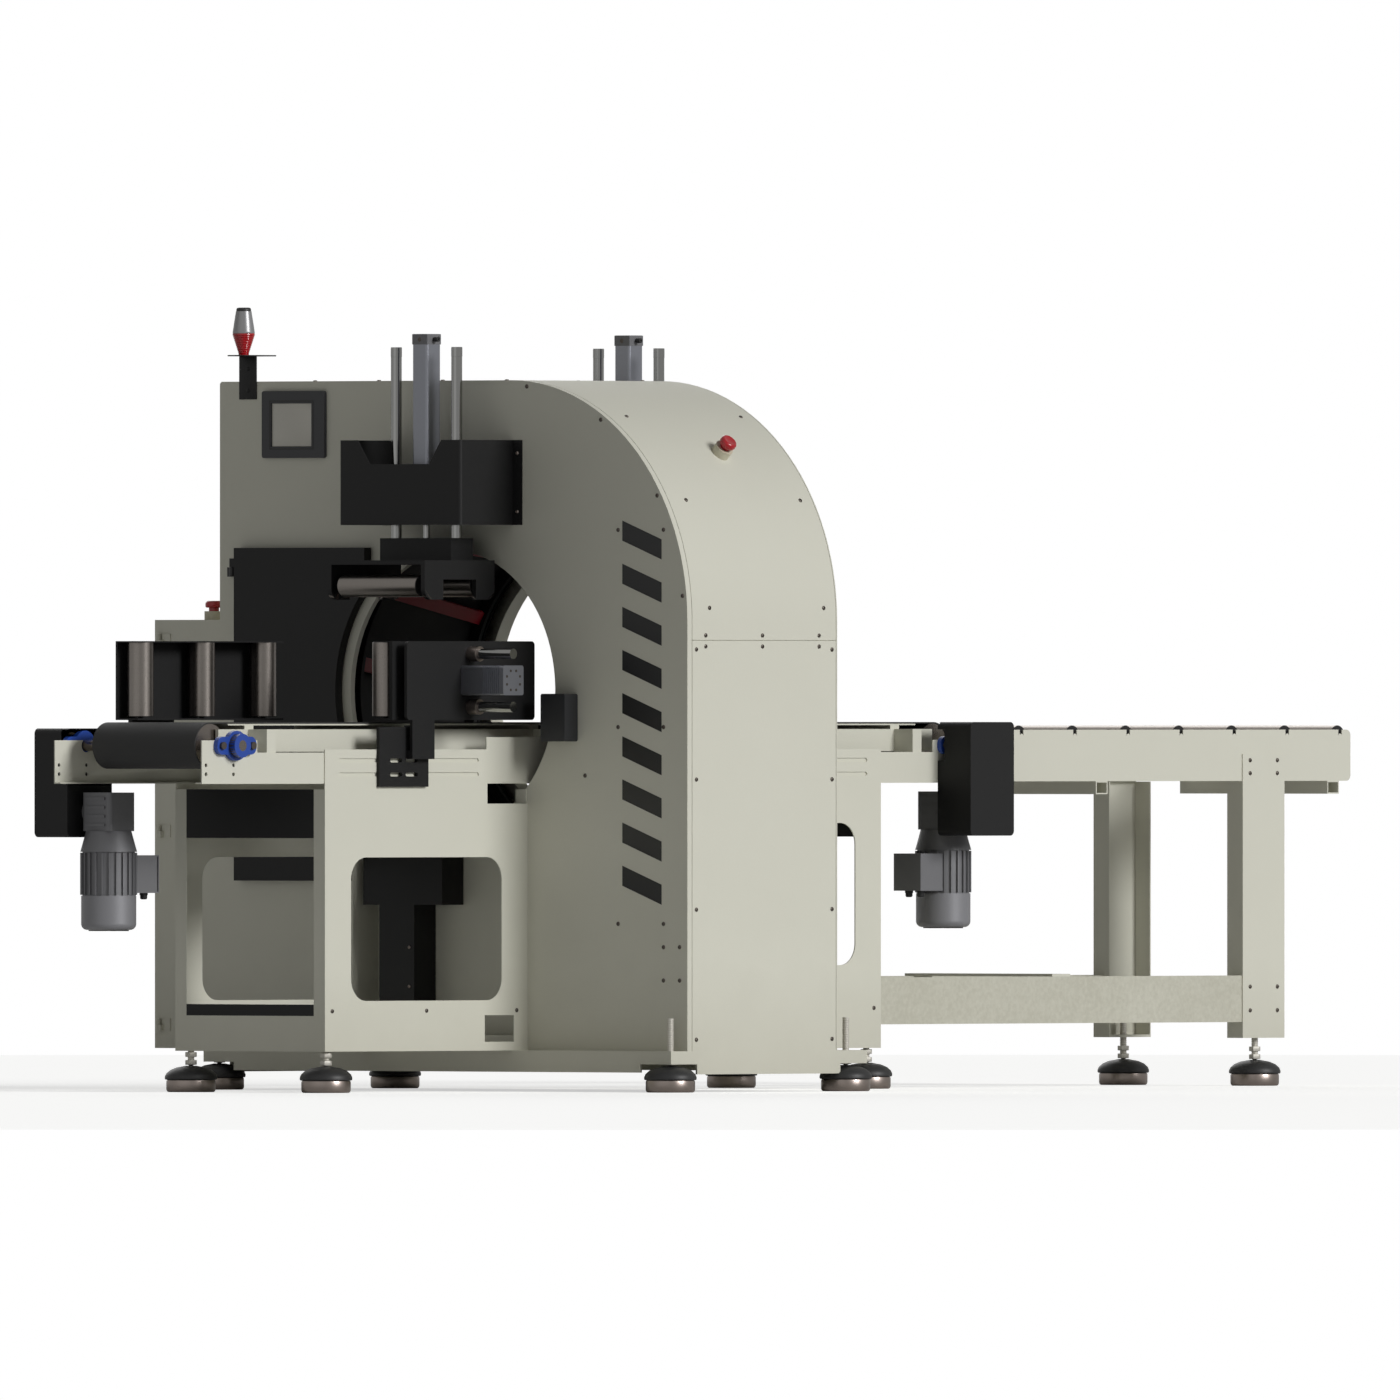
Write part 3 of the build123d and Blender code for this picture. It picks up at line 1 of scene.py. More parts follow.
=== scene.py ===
import json
import math

import bmesh
import bpy
import numpy as np
from mathutils import Matrix, Vector


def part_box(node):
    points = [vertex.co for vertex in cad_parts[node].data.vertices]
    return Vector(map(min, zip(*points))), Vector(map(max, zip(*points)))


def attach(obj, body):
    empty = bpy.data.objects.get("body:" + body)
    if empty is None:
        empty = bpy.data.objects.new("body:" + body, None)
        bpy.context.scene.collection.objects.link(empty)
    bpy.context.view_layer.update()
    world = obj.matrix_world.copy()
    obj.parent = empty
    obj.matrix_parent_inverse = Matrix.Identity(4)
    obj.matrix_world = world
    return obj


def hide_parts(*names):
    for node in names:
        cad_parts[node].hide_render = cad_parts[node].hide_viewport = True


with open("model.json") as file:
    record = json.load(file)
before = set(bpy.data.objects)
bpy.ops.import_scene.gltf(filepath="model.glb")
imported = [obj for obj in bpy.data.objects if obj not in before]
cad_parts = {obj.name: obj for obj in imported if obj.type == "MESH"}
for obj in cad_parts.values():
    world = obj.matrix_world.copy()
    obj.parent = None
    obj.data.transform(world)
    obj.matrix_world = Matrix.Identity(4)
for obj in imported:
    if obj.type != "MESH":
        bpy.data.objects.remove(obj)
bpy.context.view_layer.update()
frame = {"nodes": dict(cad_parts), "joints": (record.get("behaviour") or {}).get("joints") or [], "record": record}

bl_info = {
    "name": "Orbital Stretch Wrapper",
    "version": (1, 0, 0),
    "blender": (4, 5, 0),
    "location": "View3D > Sidebar > Wrapper",
    "description": "Finishes and fine pieces of an orbital stretch wrapper on its engineering frame",
    "category": "Object",
}

MM = 0.001
FLOOR = 0.0
MIDDLE_Y = -0.097         # upright middle plane of ring and belts


# ---- Colours and shader nodes --------------------------------------------------------------------
def colour(text):
    """An sRGB hex value as the linear colour that a shader takes."""
    parts = [int(text[i:i + 2], 16) / 255 for i in (1, 3, 5)]
    return [p / 12.92 if p <= 0.04045 else ((p + 0.055) / 1.055) ** 2.4 for p in parts] + [1.0]


def add(tree, kind, values=(), links=(), **settings):
    """Add one node: settings are its attributes, values its sockets, links (socket, source output)."""
    node = tree.nodes.new(kind)
    for name, value in settings.items():
        setattr(node, name, value)
    for socket, value in values:
        node.inputs[socket].default_value = value
    for socket, source in links:
        tree.links.new(source, node.inputs[socket])
    return node


def material(name, base, second, grain_mm, roughness=0.5, metallic=0.0, bump=0.02, stretch=(1, 1, 1),
             spread=0.5, rough_spread=0.08, **sockets):
    """A surface of two close colours mixed by noise of a real grain size, with its own fine relief."""
    made = bpy.data.materials.new(name)
    made.use_nodes = True
    tree = made.node_tree
    tree.nodes.clear()
    place = add(tree, "ShaderNodeTexCoord").outputs["Object"]
    mapped = add(tree, "ShaderNodeMapping", [("Scale", stretch)], [("Vector", place)]).outputs["Vector"]
    patches = add(tree, "ShaderNodeTexNoise", [("Scale", 3.0), ("Detail", 5.0), ("Roughness", 0.6)],
                  [("Vector", mapped)])
    grain = add(tree, "ShaderNodeTexNoise", [("Scale", 1 / (grain_mm * MM)), ("Detail", 2.0)],
                [("Vector", mapped)])
    blend = add(tree, "ShaderNodeMath", [(1, spread)], [(0, patches.outputs["Fac"])], operation="MULTIPLY")
    fine = add(tree, "ShaderNodeMath", [(1, spread)], [(0, grain.outputs["Fac"]), (2, blend.outputs[0])],
               operation="MULTIPLY_ADD")
    mix = add(tree, "ShaderNodeMix", [(6, colour(base)), (7, colour(second))], [(0, fine.outputs[0])],
              data_type="RGBA")
    rough = add(tree, "ShaderNodeMapRange",
                [("To Min", roughness - rough_spread), ("To Max", roughness + rough_spread)],
                [("Value", grain.outputs["Fac"])])
    relief = add(tree, "ShaderNodeBump", [("Strength", min(1.0, bump * 10)), ("Distance", bump * MM * 4)],
                 [("Height", grain.outputs["Fac"])])
    shader = add(tree, "ShaderNodeBsdfPrincipled", [("Metallic", metallic)] + list(sockets.items()),
                 [("Base Color", mix.outputs[2]), ("Roughness", rough.outputs[0]),
                  ("Normal", relief.outputs[0])])
    add(tree, "ShaderNodeOutputMaterial", (), [("Surface", shader.outputs[0])])
    return made


def darken_near_floor(made, tint, top):
    """Darken a finish gently towards the floor, with a wavy edge, fading out by the given height."""
    tree = made.node_tree
    shader = next(n for n in tree.nodes if n.type == "BSDF_PRINCIPLED")
    source = shader.inputs["Base Color"].links[0].from_socket
    place = add(tree, "ShaderNodeTexCoord").outputs["Object"]
    height = add(tree, "ShaderNodeSeparateXYZ", (), [(0, place)]).outputs["Z"]
    cloud = add(tree, "ShaderNodeTexNoise", [("Scale", 9.0), ("Detail", 6.0)], [("Vector", place)])
    wavy = add(tree, "ShaderNodeMath", [(1, 0.12)], [(0, cloud.outputs["Fac"]), (2, height)],
               operation="MULTIPLY_ADD")
    fade = add(tree, "ShaderNodeMapRange",
               [("From Min", 0.05), ("From Max", top), ("To Min", 0.35), ("To Max", 0.0)],
               [("Value", wavy.outputs[0])])
    mix = add(tree, "ShaderNodeMix", [(7, colour(tint))], [(0, fade.outputs[0]), (6, source)],
              data_type="RGBA")
    tree.links.new(mix.outputs[2], shader.inputs["Base Color"])
    return made


def finishes():
    """Every finish by its own name; each starts from what the real surface is."""
    made = {}
    # Powder coat: a soft orange-peel skin that catches the light in fine dimples; darker towards the floor, gone
    # by 35 cm.
    made["cream_paint"] = darken_near_floor(
        material("powder_coat_cream", "#dbdacd", "#d0cfc1", 1.6, 0.55, bump=0.03, spread=0.5), "#a39e8d",
                                          0.35)
    made["black_paint"] = material("powder_coat_black_texture", "#0c0c0d", "#161617", 0.9, 0.55, bump=0.05,
                                   **{"Specular IOR Level": 0.32})
    made["dark_red_paint"] = material("powder_coat_dark_red", "#8e1020", "#a3182a", 1.4, 0.4, bump=0.03)
    # Belt: PVC with a faint woven print, dull and dark.
    made["belt_rubber"] = material("pvc_conveyor_belt", "#1f1f20", "#2d2d2d", 1.2, 0.7, bump=0.08)
    made["blue_iron"] = material("enamelled_cast_iron_blue", "#1d3f93", "#274fae", 2.2, 0.38, bump=0.08)
    # Die-cast housings: sprayed grey over a slightly pebbled casting skin.
    made["grey_cast"] = material("sprayed_cast_aluminium", "#6d6d70", "#7b7b7e", 1.8, 0.5, bump=0.08,
                                 metallic=0.25)
    made["grey_cowl"] = material("sprayed_steel_cowl", "#808084", "#8c8c90", 1.8, 0.45, bump=0.03,
                                 metallic=0.25)
    made["foot_steel"] = material("zinc_plated_steel", "#a59a94", "#8d827c", 1.2, 0.34, 1.0, 0.02)
    # Zinc plating of the studs: pale and almost matt.
    made["stud_zinc"] = material("pale_zinc_plate", "#d6d3cb", "#c4c0b6", 0.9, 0.45, 0.35, 0.02)
    made["screw_steel"] = material("blackened_screw_steel", "#57514c", "#6a635d", 0.7, 0.4, 0.9, 0.02)
    # Turned steel: fine rings round the roller, seen as streaks along the light.
    made["roller_steel"] = material("turned_steel", "#7d7570", "#918a84", 1.0, 0.26, 1.0, 0.02, (1, 9, 1))
    made["roller_aluminium"] = material("drawn_aluminium_tube", "#948e89", "#827c77", 1.0, 0.3, 1.0, 0.015,
                                        (1, 1, 0.1))
    made["table_tube"] = material("zinc_plated_tube", "#aaa39d", "#968f89", 1.0, 0.3, 1.0, 0.015, (1, 0.1, 1))
    made["anodised"] = material("anodised_aluminium", "#9a9ca4", "#8b8d95", 1.0, 0.36, 0.9, 0.012,
                                (1, 1, 0.15))
    made["chrome_rod"] = material("hard_chrome_rod", "#a3a3a2", "#979796", 0.8, 0.1, 1.0, 0.004,
                                  rough_spread=0.03)
    made["panel_plastic"] = material("moulded_abs_grey", "#2c2d30", "#35363a", 1.0, 0.45, bump=0.02)
    made["pale_plastic"] = material("moulded_abs_pale", "#cfcab4", "#c6c1aa", 1.2, 0.45, bump=0.02)
    made["black_plastic"] = material("glass_filled_nylon_black", "#1b1b1c", "#262627", 1.2, 0.5, bump=0.04)
    made["red_plastic"] = material("moulded_nylon_red", "#b3101f", "#a60c1a", 1.5, 0.3, bump=0.01,
                                   **{"Coat Weight": 0.3})
    made["beacon_red"] = material("polycarbonate_lens_red", "#c40f1d", "#b50a18", 2.0, 0.16, bump=0.01,
                                  **{"Transmission Weight": 0.25, "IOR": 1.58})
    made["beacon_plastic"] = material("satin_silver_plastic", "#8d8d8f", "#9b9b9c", 1.2, 0.35, 0.5, 0.015)
    made["film"] = material("stretch_film_roll", "#c9cdd2", "#dadde0", 3.0, 0.14, bump=0.02,
                            **{"Coat Weight": 0.6})
    made["wheel_rubber"] = material("polyurethane_tyre", "#3b3834", "#2d2b28", 1.0, 0.6, bump=0.03)
    made["screen"] = material("touch_glass_grey", "#cfccc2", "#c8c5bb", 6.0, 0.22, bump=0.0,
                              **{"Coat Weight": 0.4})
    made["graphic_black"] = material("vinyl_graphic_black", "#101011", "#19191a", 1.4, 0.35, bump=0.01)
    made["mottled_galvanised"] = material("powder_coat_cream_mottled", "#dddccf", "#bdbbac", 9.0, 0.45,
                                          bump=0.03,
                                          spread=0.8)
    return made


FINISH = finishes()


# ---- Mesh helpers --------------------------------------------------------------------------------
def piece(name, bm, finish, body, smooth=True, angle=35):
    """Turn a bmesh into a piece that rides on a body and takes a finish."""
    bmesh.ops.remove_doubles(bm, verts=bm.verts, dist=0.00002)
    mesh = bpy.data.meshes.new(name)
    bm.to_mesh(mesh)
    bm.free()
    made = bpy.data.objects.new(name, mesh)
    bpy.context.scene.collection.objects.link(made)
    mesh.materials.append(FINISH[finish])
    if smooth:
        mesh.shade_smooth()
        mesh.set_sharp_from_angle(angle=math.radians(angle))
    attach(made, body)
    return made


def turned(bm, profile, steps=32, matrix=None):
    """Spin a profile of (radius, height) points in millimetres round Z, then place it."""
    points = [bm.verts.new((r * MM, 0, z * MM)) for r, z in profile]
    edges = [bm.edges.new(pair) for pair in zip(points, points[1:])]
    bmesh.ops.spin(bm, geom=points + edges, cent=(0, 0, 0), axis=(0, 0, 1), angle=math.tau,
                          steps=steps, use_merge=True)
    faces = {f for v in points for f in v.link_faces}
    reach = list(faces)
    while reach:
        face = reach.pop()
        for edge in face.edges:
            for other in edge.link_faces:
                if other not in faces:
                    faces.add(other)
                    reach.append(other)
    verts = list({v for f in faces for v in f.verts})
    bmesh.ops.remove_doubles(bm, verts=verts, dist=0.00001)
    verts = [v for v in verts if v.is_valid]
    faces = list({f for v in verts for f in v.link_faces})
    bmesh.ops.recalc_face_normals(bm, faces=faces)
    if matrix is not None:
        bmesh.ops.transform(bm, matrix=matrix, verts=verts)
    return verts


def slab(bm, low, high, bevel=0.0, segments=2):
    """A box between two corners in metres, with rounded edges."""
    low, high = Vector(low), Vector(high)
    size = high - low
    matrix = Matrix.Translation((low + high) / 2) @ Matrix.Diagonal((*size, 1))
    verts = bmesh.ops.create_cube(bm, size=1, matrix=matrix)["verts"]
    if bevel:
        edges = list({e for v in verts for e in v.link_edges})
        bmesh.ops.bevel(bm, geom=edges, offset=bevel, segments=segments, affect="EDGES", profile=0.5,
                        material=-1)
    return verts


def islands(node):
    """The separate solids of a CAD node after merging, each with its lowest and highest corner, its face normals
    with areas and its faces.
    """
    source = bmesh.new()
    source.from_mesh(frame["nodes"][node].data)
    bmesh.ops.remove_doubles(source, verts=source.verts, dist=0.00001)
    left, found = set(source.verts), []
    while left:
        seed = left.pop()
        group, reach = {seed}, [seed]
        while reach:
            for edge in reach.pop().link_edges:
                for vert in edge.verts:
                    if vert in left:
                        left.discard(vert)
                        group.add(vert)
                        reach.append(vert)
        points = np.array([v.co for v in group])
        normals = [(f.normal.copy(), f.calc_area()) for f in {f for v in group for f in v.link_faces}]
        faces = [[v.co.copy() for v in f.verts] for f in {f for v in group for f in v.link_faces}]
        found.append({"low": points.min(axis=0), "high": points.max(axis=0), "normals": normals,
                      "faces": faces})
    source.free()
    return sorted(found, key=lambda i: tuple(np.round(i["low"], 4)))


def facing(normal, at):
    """A matrix that stands a piece modelled along Z on a face, pointing along its normal."""
    return Matrix.Translation(at) @ Vector(normal).to_track_quat("Z", "Y").to_matrix().to_4x4()


def barrel_axis(motor):
    """Where the upright axis of a gearmotor's barrel stands, from the underside of its fan cowl."""
    bottom = [co for face in motor["faces"] for co in face if co.z < motor["low"][2] + 0.0005]
    xs, ys = [co.x for co in bottom], [co.y for co in bottom]
    return (min(xs) + max(xs)) / 2, (min(ys) + max(ys)) / 2


def joint(name):
    return next(j for j in frame["joints"] if j["name"] == name)


# ---- Sizes, counts and light strengths a user would change ----------------------------------------
class WrapperStageSettings(bpy.types.PropertyGroup):
    """Floor, lights and camera."""
    floor_radius: bpy.props.FloatProperty(name="Floor radius", description="Radius of the pale floor",
                                          default=12.0, unit="LENGTH")
    lens: bpy.props.FloatProperty(name="Lens", description="Focal length; long, so that lines stay parallel",
                                  default=1400.0, subtype="DISTANCE_CAMERA")
    azimuth: bpy.props.FloatProperty(name="Azimuth", description="Viewing direction round the machine",
                                     default=math.radians(-47.3), subtype="ANGLE")
    frame_width: bpy.props.FloatProperty(name="Frame width",
                                         description="Width of the picture at the machine",
                                         default=3.22, unit="LENGTH")
    aim: bpy.props.FloatVectorProperty(name="Aim", description="Point that the camera looks at",
                                       default=(-0.03, -0.097, 0.8947), unit="LENGTH")
    key_power: bpy.props.FloatProperty(name="Key light", description="Strength of the main light",
                                       default=2.15)
    fill_power: bpy.props.FloatProperty(name="Room light", description="Strength of the light all round",
                                        default=0.105)
    paper_glow: bpy.props.FloatProperty(name="Paper lift", description="Brightness added to the floor",
                                        default=0.55)
    gloss_power: bpy.props.FloatProperty(name="Reflected room",
                                         description="Strength of the room in reflections",
                                         default=0.5)


class WrapperDetailSettings(bpy.types.PropertyGroup):
    """Fine pieces that the engineering frame leaves plain."""
    screw_radius: bpy.props.FloatProperty(name="Screw head radius", description="Button head screws",
                                          default=0.005, unit="LENGTH")
    stripe_count: bpy.props.IntProperty(name="Stripes", description="Slanted bars on the front", default=9)
    stripe_width: bpy.props.FloatProperty(name="Stripe height", description="Height of one bar",
                                          default=0.046, unit="LENGTH")
    stripe_slant: bpy.props.FloatProperty(name="Slant", description="Slant of the bars", default=0.34,
                                          subtype="ANGLE")
    grille_rings: bpy.props.IntProperty(name="Grille rings", description="Rings in a motor's fan grille",
                                        default=6)


# ---- Operators -----------------------------------------------------------------------------------
class WRAPPER_OT_stage(bpy.types.Operator):
    """Pale floor, one large key light, soft room light and the camera"""
    bl_idname = "wrapper.stage"
    bl_label = "Stage"

    def execute(self, context):
        s = context.scene.wrapper_stage
        bm = bmesh.new()
        bmesh.ops.create_circle(bm, cap_ends=True, segments=96, radius=s.floor_radius)
        mesh = bpy.data.meshes.new("floor")
        bm.to_mesh(mesh)
        bm.free()
        floor = bpy.data.objects.new("floor", mesh)
        context.scene.collection.objects.link(floor)
        floor.location.z = FLOOR
        mesh.materials.append(self.paper(s))
        self.light(context, "key", "SUN", (-0.12, 1.0, -0.42), s.key_power, math.radians(20))
        self.light(context, "back", "SUN", (-0.5, -0.9, -0.5), s.key_power * 0.3, math.radians(40))
        self.light(context, "side", "SUN", (1.0, 0.12, -0.35), s.key_power * 0.07, math.radians(60))
        world = bpy.data.worlds.new("studio")
        world.use_nodes = True
        context.scene.world = world
        tree = world.node_tree
        tree.nodes.clear()
        path = add(tree, "ShaderNodeLightPath").outputs["Is Camera Ray"]
        glossy = add(tree, "ShaderNodeLightPath").outputs["Is Glossy Ray"]
        power = add(tree, "ShaderNodeMapRange", [("To Min", s.fill_power), ("To Max", s.gloss_power)],
                    [("Value", glossy)])
        room = add(tree, "ShaderNodeBackground", [("Color", colour("#f4f4f2"))],
                   [("Strength", power.outputs[0])])
        seen = add(tree, "ShaderNodeBackground", [("Color", colour("#ffffff")), ("Strength", 1.0)])
        both = add(tree, "ShaderNodeMixShader", (), [(0, path), (1, room.outputs[0]), (2, seen.outputs[0])])
        add(tree, "ShaderNodeOutputWorld", (), [("Surface", both.outputs[0])])
        camera = bpy.data.cameras.new("camera")
        camera.lens = s.lens
        seen_from = bpy.data.objects.new("camera", camera)
        context.scene.collection.objects.link(seen_from)
        distance = s.lens / camera.sensor_width * s.frame_width
        back = Vector((math.sin(s.azimuth), -math.cos(s.azimuth), 0))
        seen_from.location = Vector(s.aim) + back * distance
        seen_from.rotation_euler = (-back).to_track_quat("-Z", "Y").to_euler()
        camera.clip_end = distance * 3
        context.scene.camera = seen_from
        context.scene.view_settings.view_transform = "Standard"
        return {"FINISHED"}

    @staticmethod
    def paper(s):
        """White studio paper, lifted a little so that only the soft shadow under the machine stays."""
        made = bpy.data.materials.new("seamless_paper")
        made.use_nodes = True
        tree = made.node_tree
        tree.nodes.clear()
        matt = add(tree, "ShaderNodeBsdfDiffuse", [("Color", colour("#e9e9e7"))])
        glow = add(tree, "ShaderNodeEmission", [("Color", colour("#ffffff")), ("Strength", s.paper_glow)])
        shine = add(tree, "ShaderNodeAddShader", (), [(0, matt.outputs[0]), (1, glow.outputs[0])])
        seen = add(tree, "ShaderNodeLightPath").outputs["Is Camera Ray"]
        pick = add(tree, "ShaderNodeMixShader", (), [(0, seen), (1, matt.outputs[0]), (2, shine.outputs[0])])
        add(tree, "ShaderNodeOutputMaterial", (), [("Surface", pick.outputs[0])])
        return made

    @staticmethod
    def light(context, name, kind, direction, power, angle):
        data = bpy.data.lights.new(name, kind)
        data.energy, data.angle = power, angle
        made = bpy.data.objects.new(name, data)
        made.rotation_euler = Vector(direction).to_track_quat("-Z", "Y").to_euler()
        context.scene.collection.objects.link(made)


class WRAPPER_OT_finish_frame(bpy.types.Operator):
    """Give each engineering node the finish of its real surface, and a second one where it has two"""
    bl_idname = "wrapper.finish_frame"
    bl_label = "Finish the frame"

    def execute(self, context):
        places = self.second_finishes()
        for row in frame["record"]["subparts"]:
            name = row["node"]
            finish = row["material_slot"]
            if name.startswith("table_roller_") and name[-1].isdigit():
                finish = "table_tube"
            mesh = frame["nodes"][name].data
            mesh.materials.clear()
            mesh.materials.append(FINISH[finish])
            for other, chosen in places.get(name, ()):
                mesh.materials.append(FINISH[other])
                number = len(mesh.materials) - 1
                for face in mesh.polygons:
                    if chosen(face.center):
                        face.material_index = number
        return {"FINISHED"}

    @staticmethod
    def second_finishes():
        """Node by node: a finish, and a test of the face centres that take it."""
        found = {}
        for side in ("infeed", "outfeed"):
            node = f"{side}_press_carriage"
            low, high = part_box(node)
            block_top, skid_top = high[2] - 0.437, low[2] + 0.0095
            found[node] = [("chrome_rod", lambda c, z=block_top: c.z > z + 0.0005),
                           ("roller_steel", lambda c, z=skid_top: z - 0.0045 < c.z < z)]
        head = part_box("near_guide_head")
        found["near_guide_head"] = [("chrome_rod", lambda c: c.y < head[0][1] + 0.162)]
        mount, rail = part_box("guide_mounts"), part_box("near_guide_roller_2")
        middle = (rail[0][0] + rail[1][0]) / 2
        found["guide_mounts"] = [("anodised", lambda c: c.y < mount[0][1] + 0.1318
                                  and abs(c.x - middle) < 0.037
                                  and abs(c.z - (mount[0][2] + 0.2425)) < 0.037),
                                 ("foot_steel", lambda c: c.y < mount[0][1] + 0.1318
                                  and abs(c.x - middle) < 0.02
                                  and abs(c.z - (mount[0][2] + 0.2425)) > 0.042)]
        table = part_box("roller_table_frame")
        found["roller_table_frame"] = [("mottled_galvanised", lambda c: c.z < table[0][2] + 0.147
                                        and c.x < table[1][0] - 0.378),
                                       ("foot_steel",
                                        lambda c: abs(c.y - (table[0][1] + table[1][1]) / 2) < 0.21
                                        and c.z > table[1][2] - 0.022)]
        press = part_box("press_cylinders")
        found["press_cylinders"] = [("black_paint", lambda c: c.z < press[0][2] + 0.0901
                                     and abs(c.y - MIDDLE_Y) > 0.024)]
        found["switch_fittings"] = [("panel_plastic", lambda c: c.y < -0.3 and c.z < 1.0)]
        found["gearmotors"] = [("grey_cowl",
                                lambda c: (c.z < 0.45 and c.x < -1.6 or c.z < 0.45 and c.x > 0.3))]
        found["flange_bearings"] = [("screw_steel", lambda c: abs(abs(c.y - MIDDLE_Y) - 0.2475) < 0.0028)]
        return found


class WRAPPER_OT_feet(bpy.types.Operator):
    """Levelling feet: turned disc, domed cap, threaded stud and two nuts each"""
    bl_idname = "wrapper.feet"
    bl_label = "Levelling feet"

    def execute(self, context):
        for number, foot in enumerate(islands("levelling_feet"), 1):
            low, high = Vector(foot["low"]), Vector(foot["high"])
            x, y, top = (low.x + high.x) / 2, (low.y + high.y) / 2, high.z / MM
            move = Matrix.Translation((x, y, 0))
            bm = bmesh.new()
            turned(bm, [(0, 0), (52, 0), (55, 2), (56.5, 6), (56.5, 24), (55.5, 27), (54, 28), (0, 28)], 48,
                   move)
            disc = piece(f"foot_disc_{number}", bm, "foot_steel", "root")
            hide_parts("levelling_feet")
            bm = bmesh.new()
            turned(bm, [(0, 28.2), (58, 28.2), (60, 30), (60, 35), (57, 42), (48, 50), (34, 56), (20, 58.5),
                        (13, 60), (0, 60)], 48, move)
            piece(f"foot_cap_{number}", bm, "black_plastic", "root")
            bm = bmesh.new()
            thread = []
            turns = int((top - 64) / 4)
            for turn in range(turns):
                z = 62 + turn * 4
                thread += [(7.9, z), (7.9, z + 1.2), (7.1, z + 2.0), (7.1, z + 3.0)]
            turned(bm, [(0, 58)] + thread + [(7.9, 62 + turns * 4), (7.9, top - 1), (6.9, top), (0, top)],
                   20, move)
            for z in (62, 80):
                self.nut(bm, x, y, z)
            piece(f"foot_stud_{number}", bm, "stud_zinc", "root", angle=25)
        return {"FINISHED"}

    @staticmethod
    def nut(bm, x, y, z):
        made = bmesh.ops.create_cone(bm, cap_ends=True, segments=6, radius1=13.8 * MM, radius2=13.8 * MM,
                                     depth=11 * MM, matrix=Matrix.Translation((x, y, (z + 5.5) * MM)))
        edges = [e for e in {e for v in made["verts"] for e in v.link_edges}
                 if abs(e.verts[0].co.z - e.verts[1].co.z) < 1e-6]
        bmesh.ops.bevel(bm, geom=edges, offset=1.2 * MM, segments=2, affect="EDGES", profile=0.5, material=-1)


class WRAPPER_OT_screws(bpy.types.Operator):
    """Button head screws with a hexagon socket in place of each plain head"""
    bl_idname = "wrapper.screws"
    bl_label = "Screws"

    def execute(self, context):
        radius = context.scene.wrapper_detail.screw_radius / MM
        heads, blocks = bmesh.new(), bmesh.new()
        for island in islands("cover_screws"):
            low, high = Vector(island["low"]), Vector(island["high"])
            if max(high - low) > 0.012:
                for face in island["faces"]:
                    blocks.faces.new([blocks.verts.new(co) for co in face])
                continue
            normal = self.outward(island, (low + high) / 2)
            self.head(heads, facing(normal, (low + high) / 2 - normal * 1.25 * MM), radius)
        made = piece("screw_heads", heads, "screw_steel", "root")
        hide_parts("cover_screws")
        piece("door_hinge_blocks", blocks, "black_plastic", "root")
        return {"FINISHED"}

    @staticmethod
    def outward(island, centre):
        """The normal of the head's broad outer face: away from the machine's upright middle plane."""
        normal = max(island["normals"], key=lambda pair: pair[1])[0]
        low, high = Vector(island["low"]), Vector(island["high"])
        size = high - low
        flat = min(range(3), key=lambda axis: size[axis])
        if size[flat] < 0.003:
            normal = Vector([1.0 if axis == flat else 0.0 for axis in range(3)])
        front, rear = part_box("front_skin"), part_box("rear_skin")
        middle = Vector(((front[0][0] + rear[1][0]) / 2, (front[0][1] + front[1][1]) / 2, 0.9))
        return normal if normal.dot(centre - middle) > 0 else -normal

    @staticmethod
    def head(bm, matrix, radius):
        hexagon = radius * 0.52
        turned(bm, [(radius, 0), (radius, 0.8), (radius * 0.9, 1.7), (radius * 0.68, 2.3),
                    (hexagon + 0.2, 2.5),
                    (hexagon, 2.3), (hexagon * 0.98, 0.9), (0, 0.8)], 12, matrix)


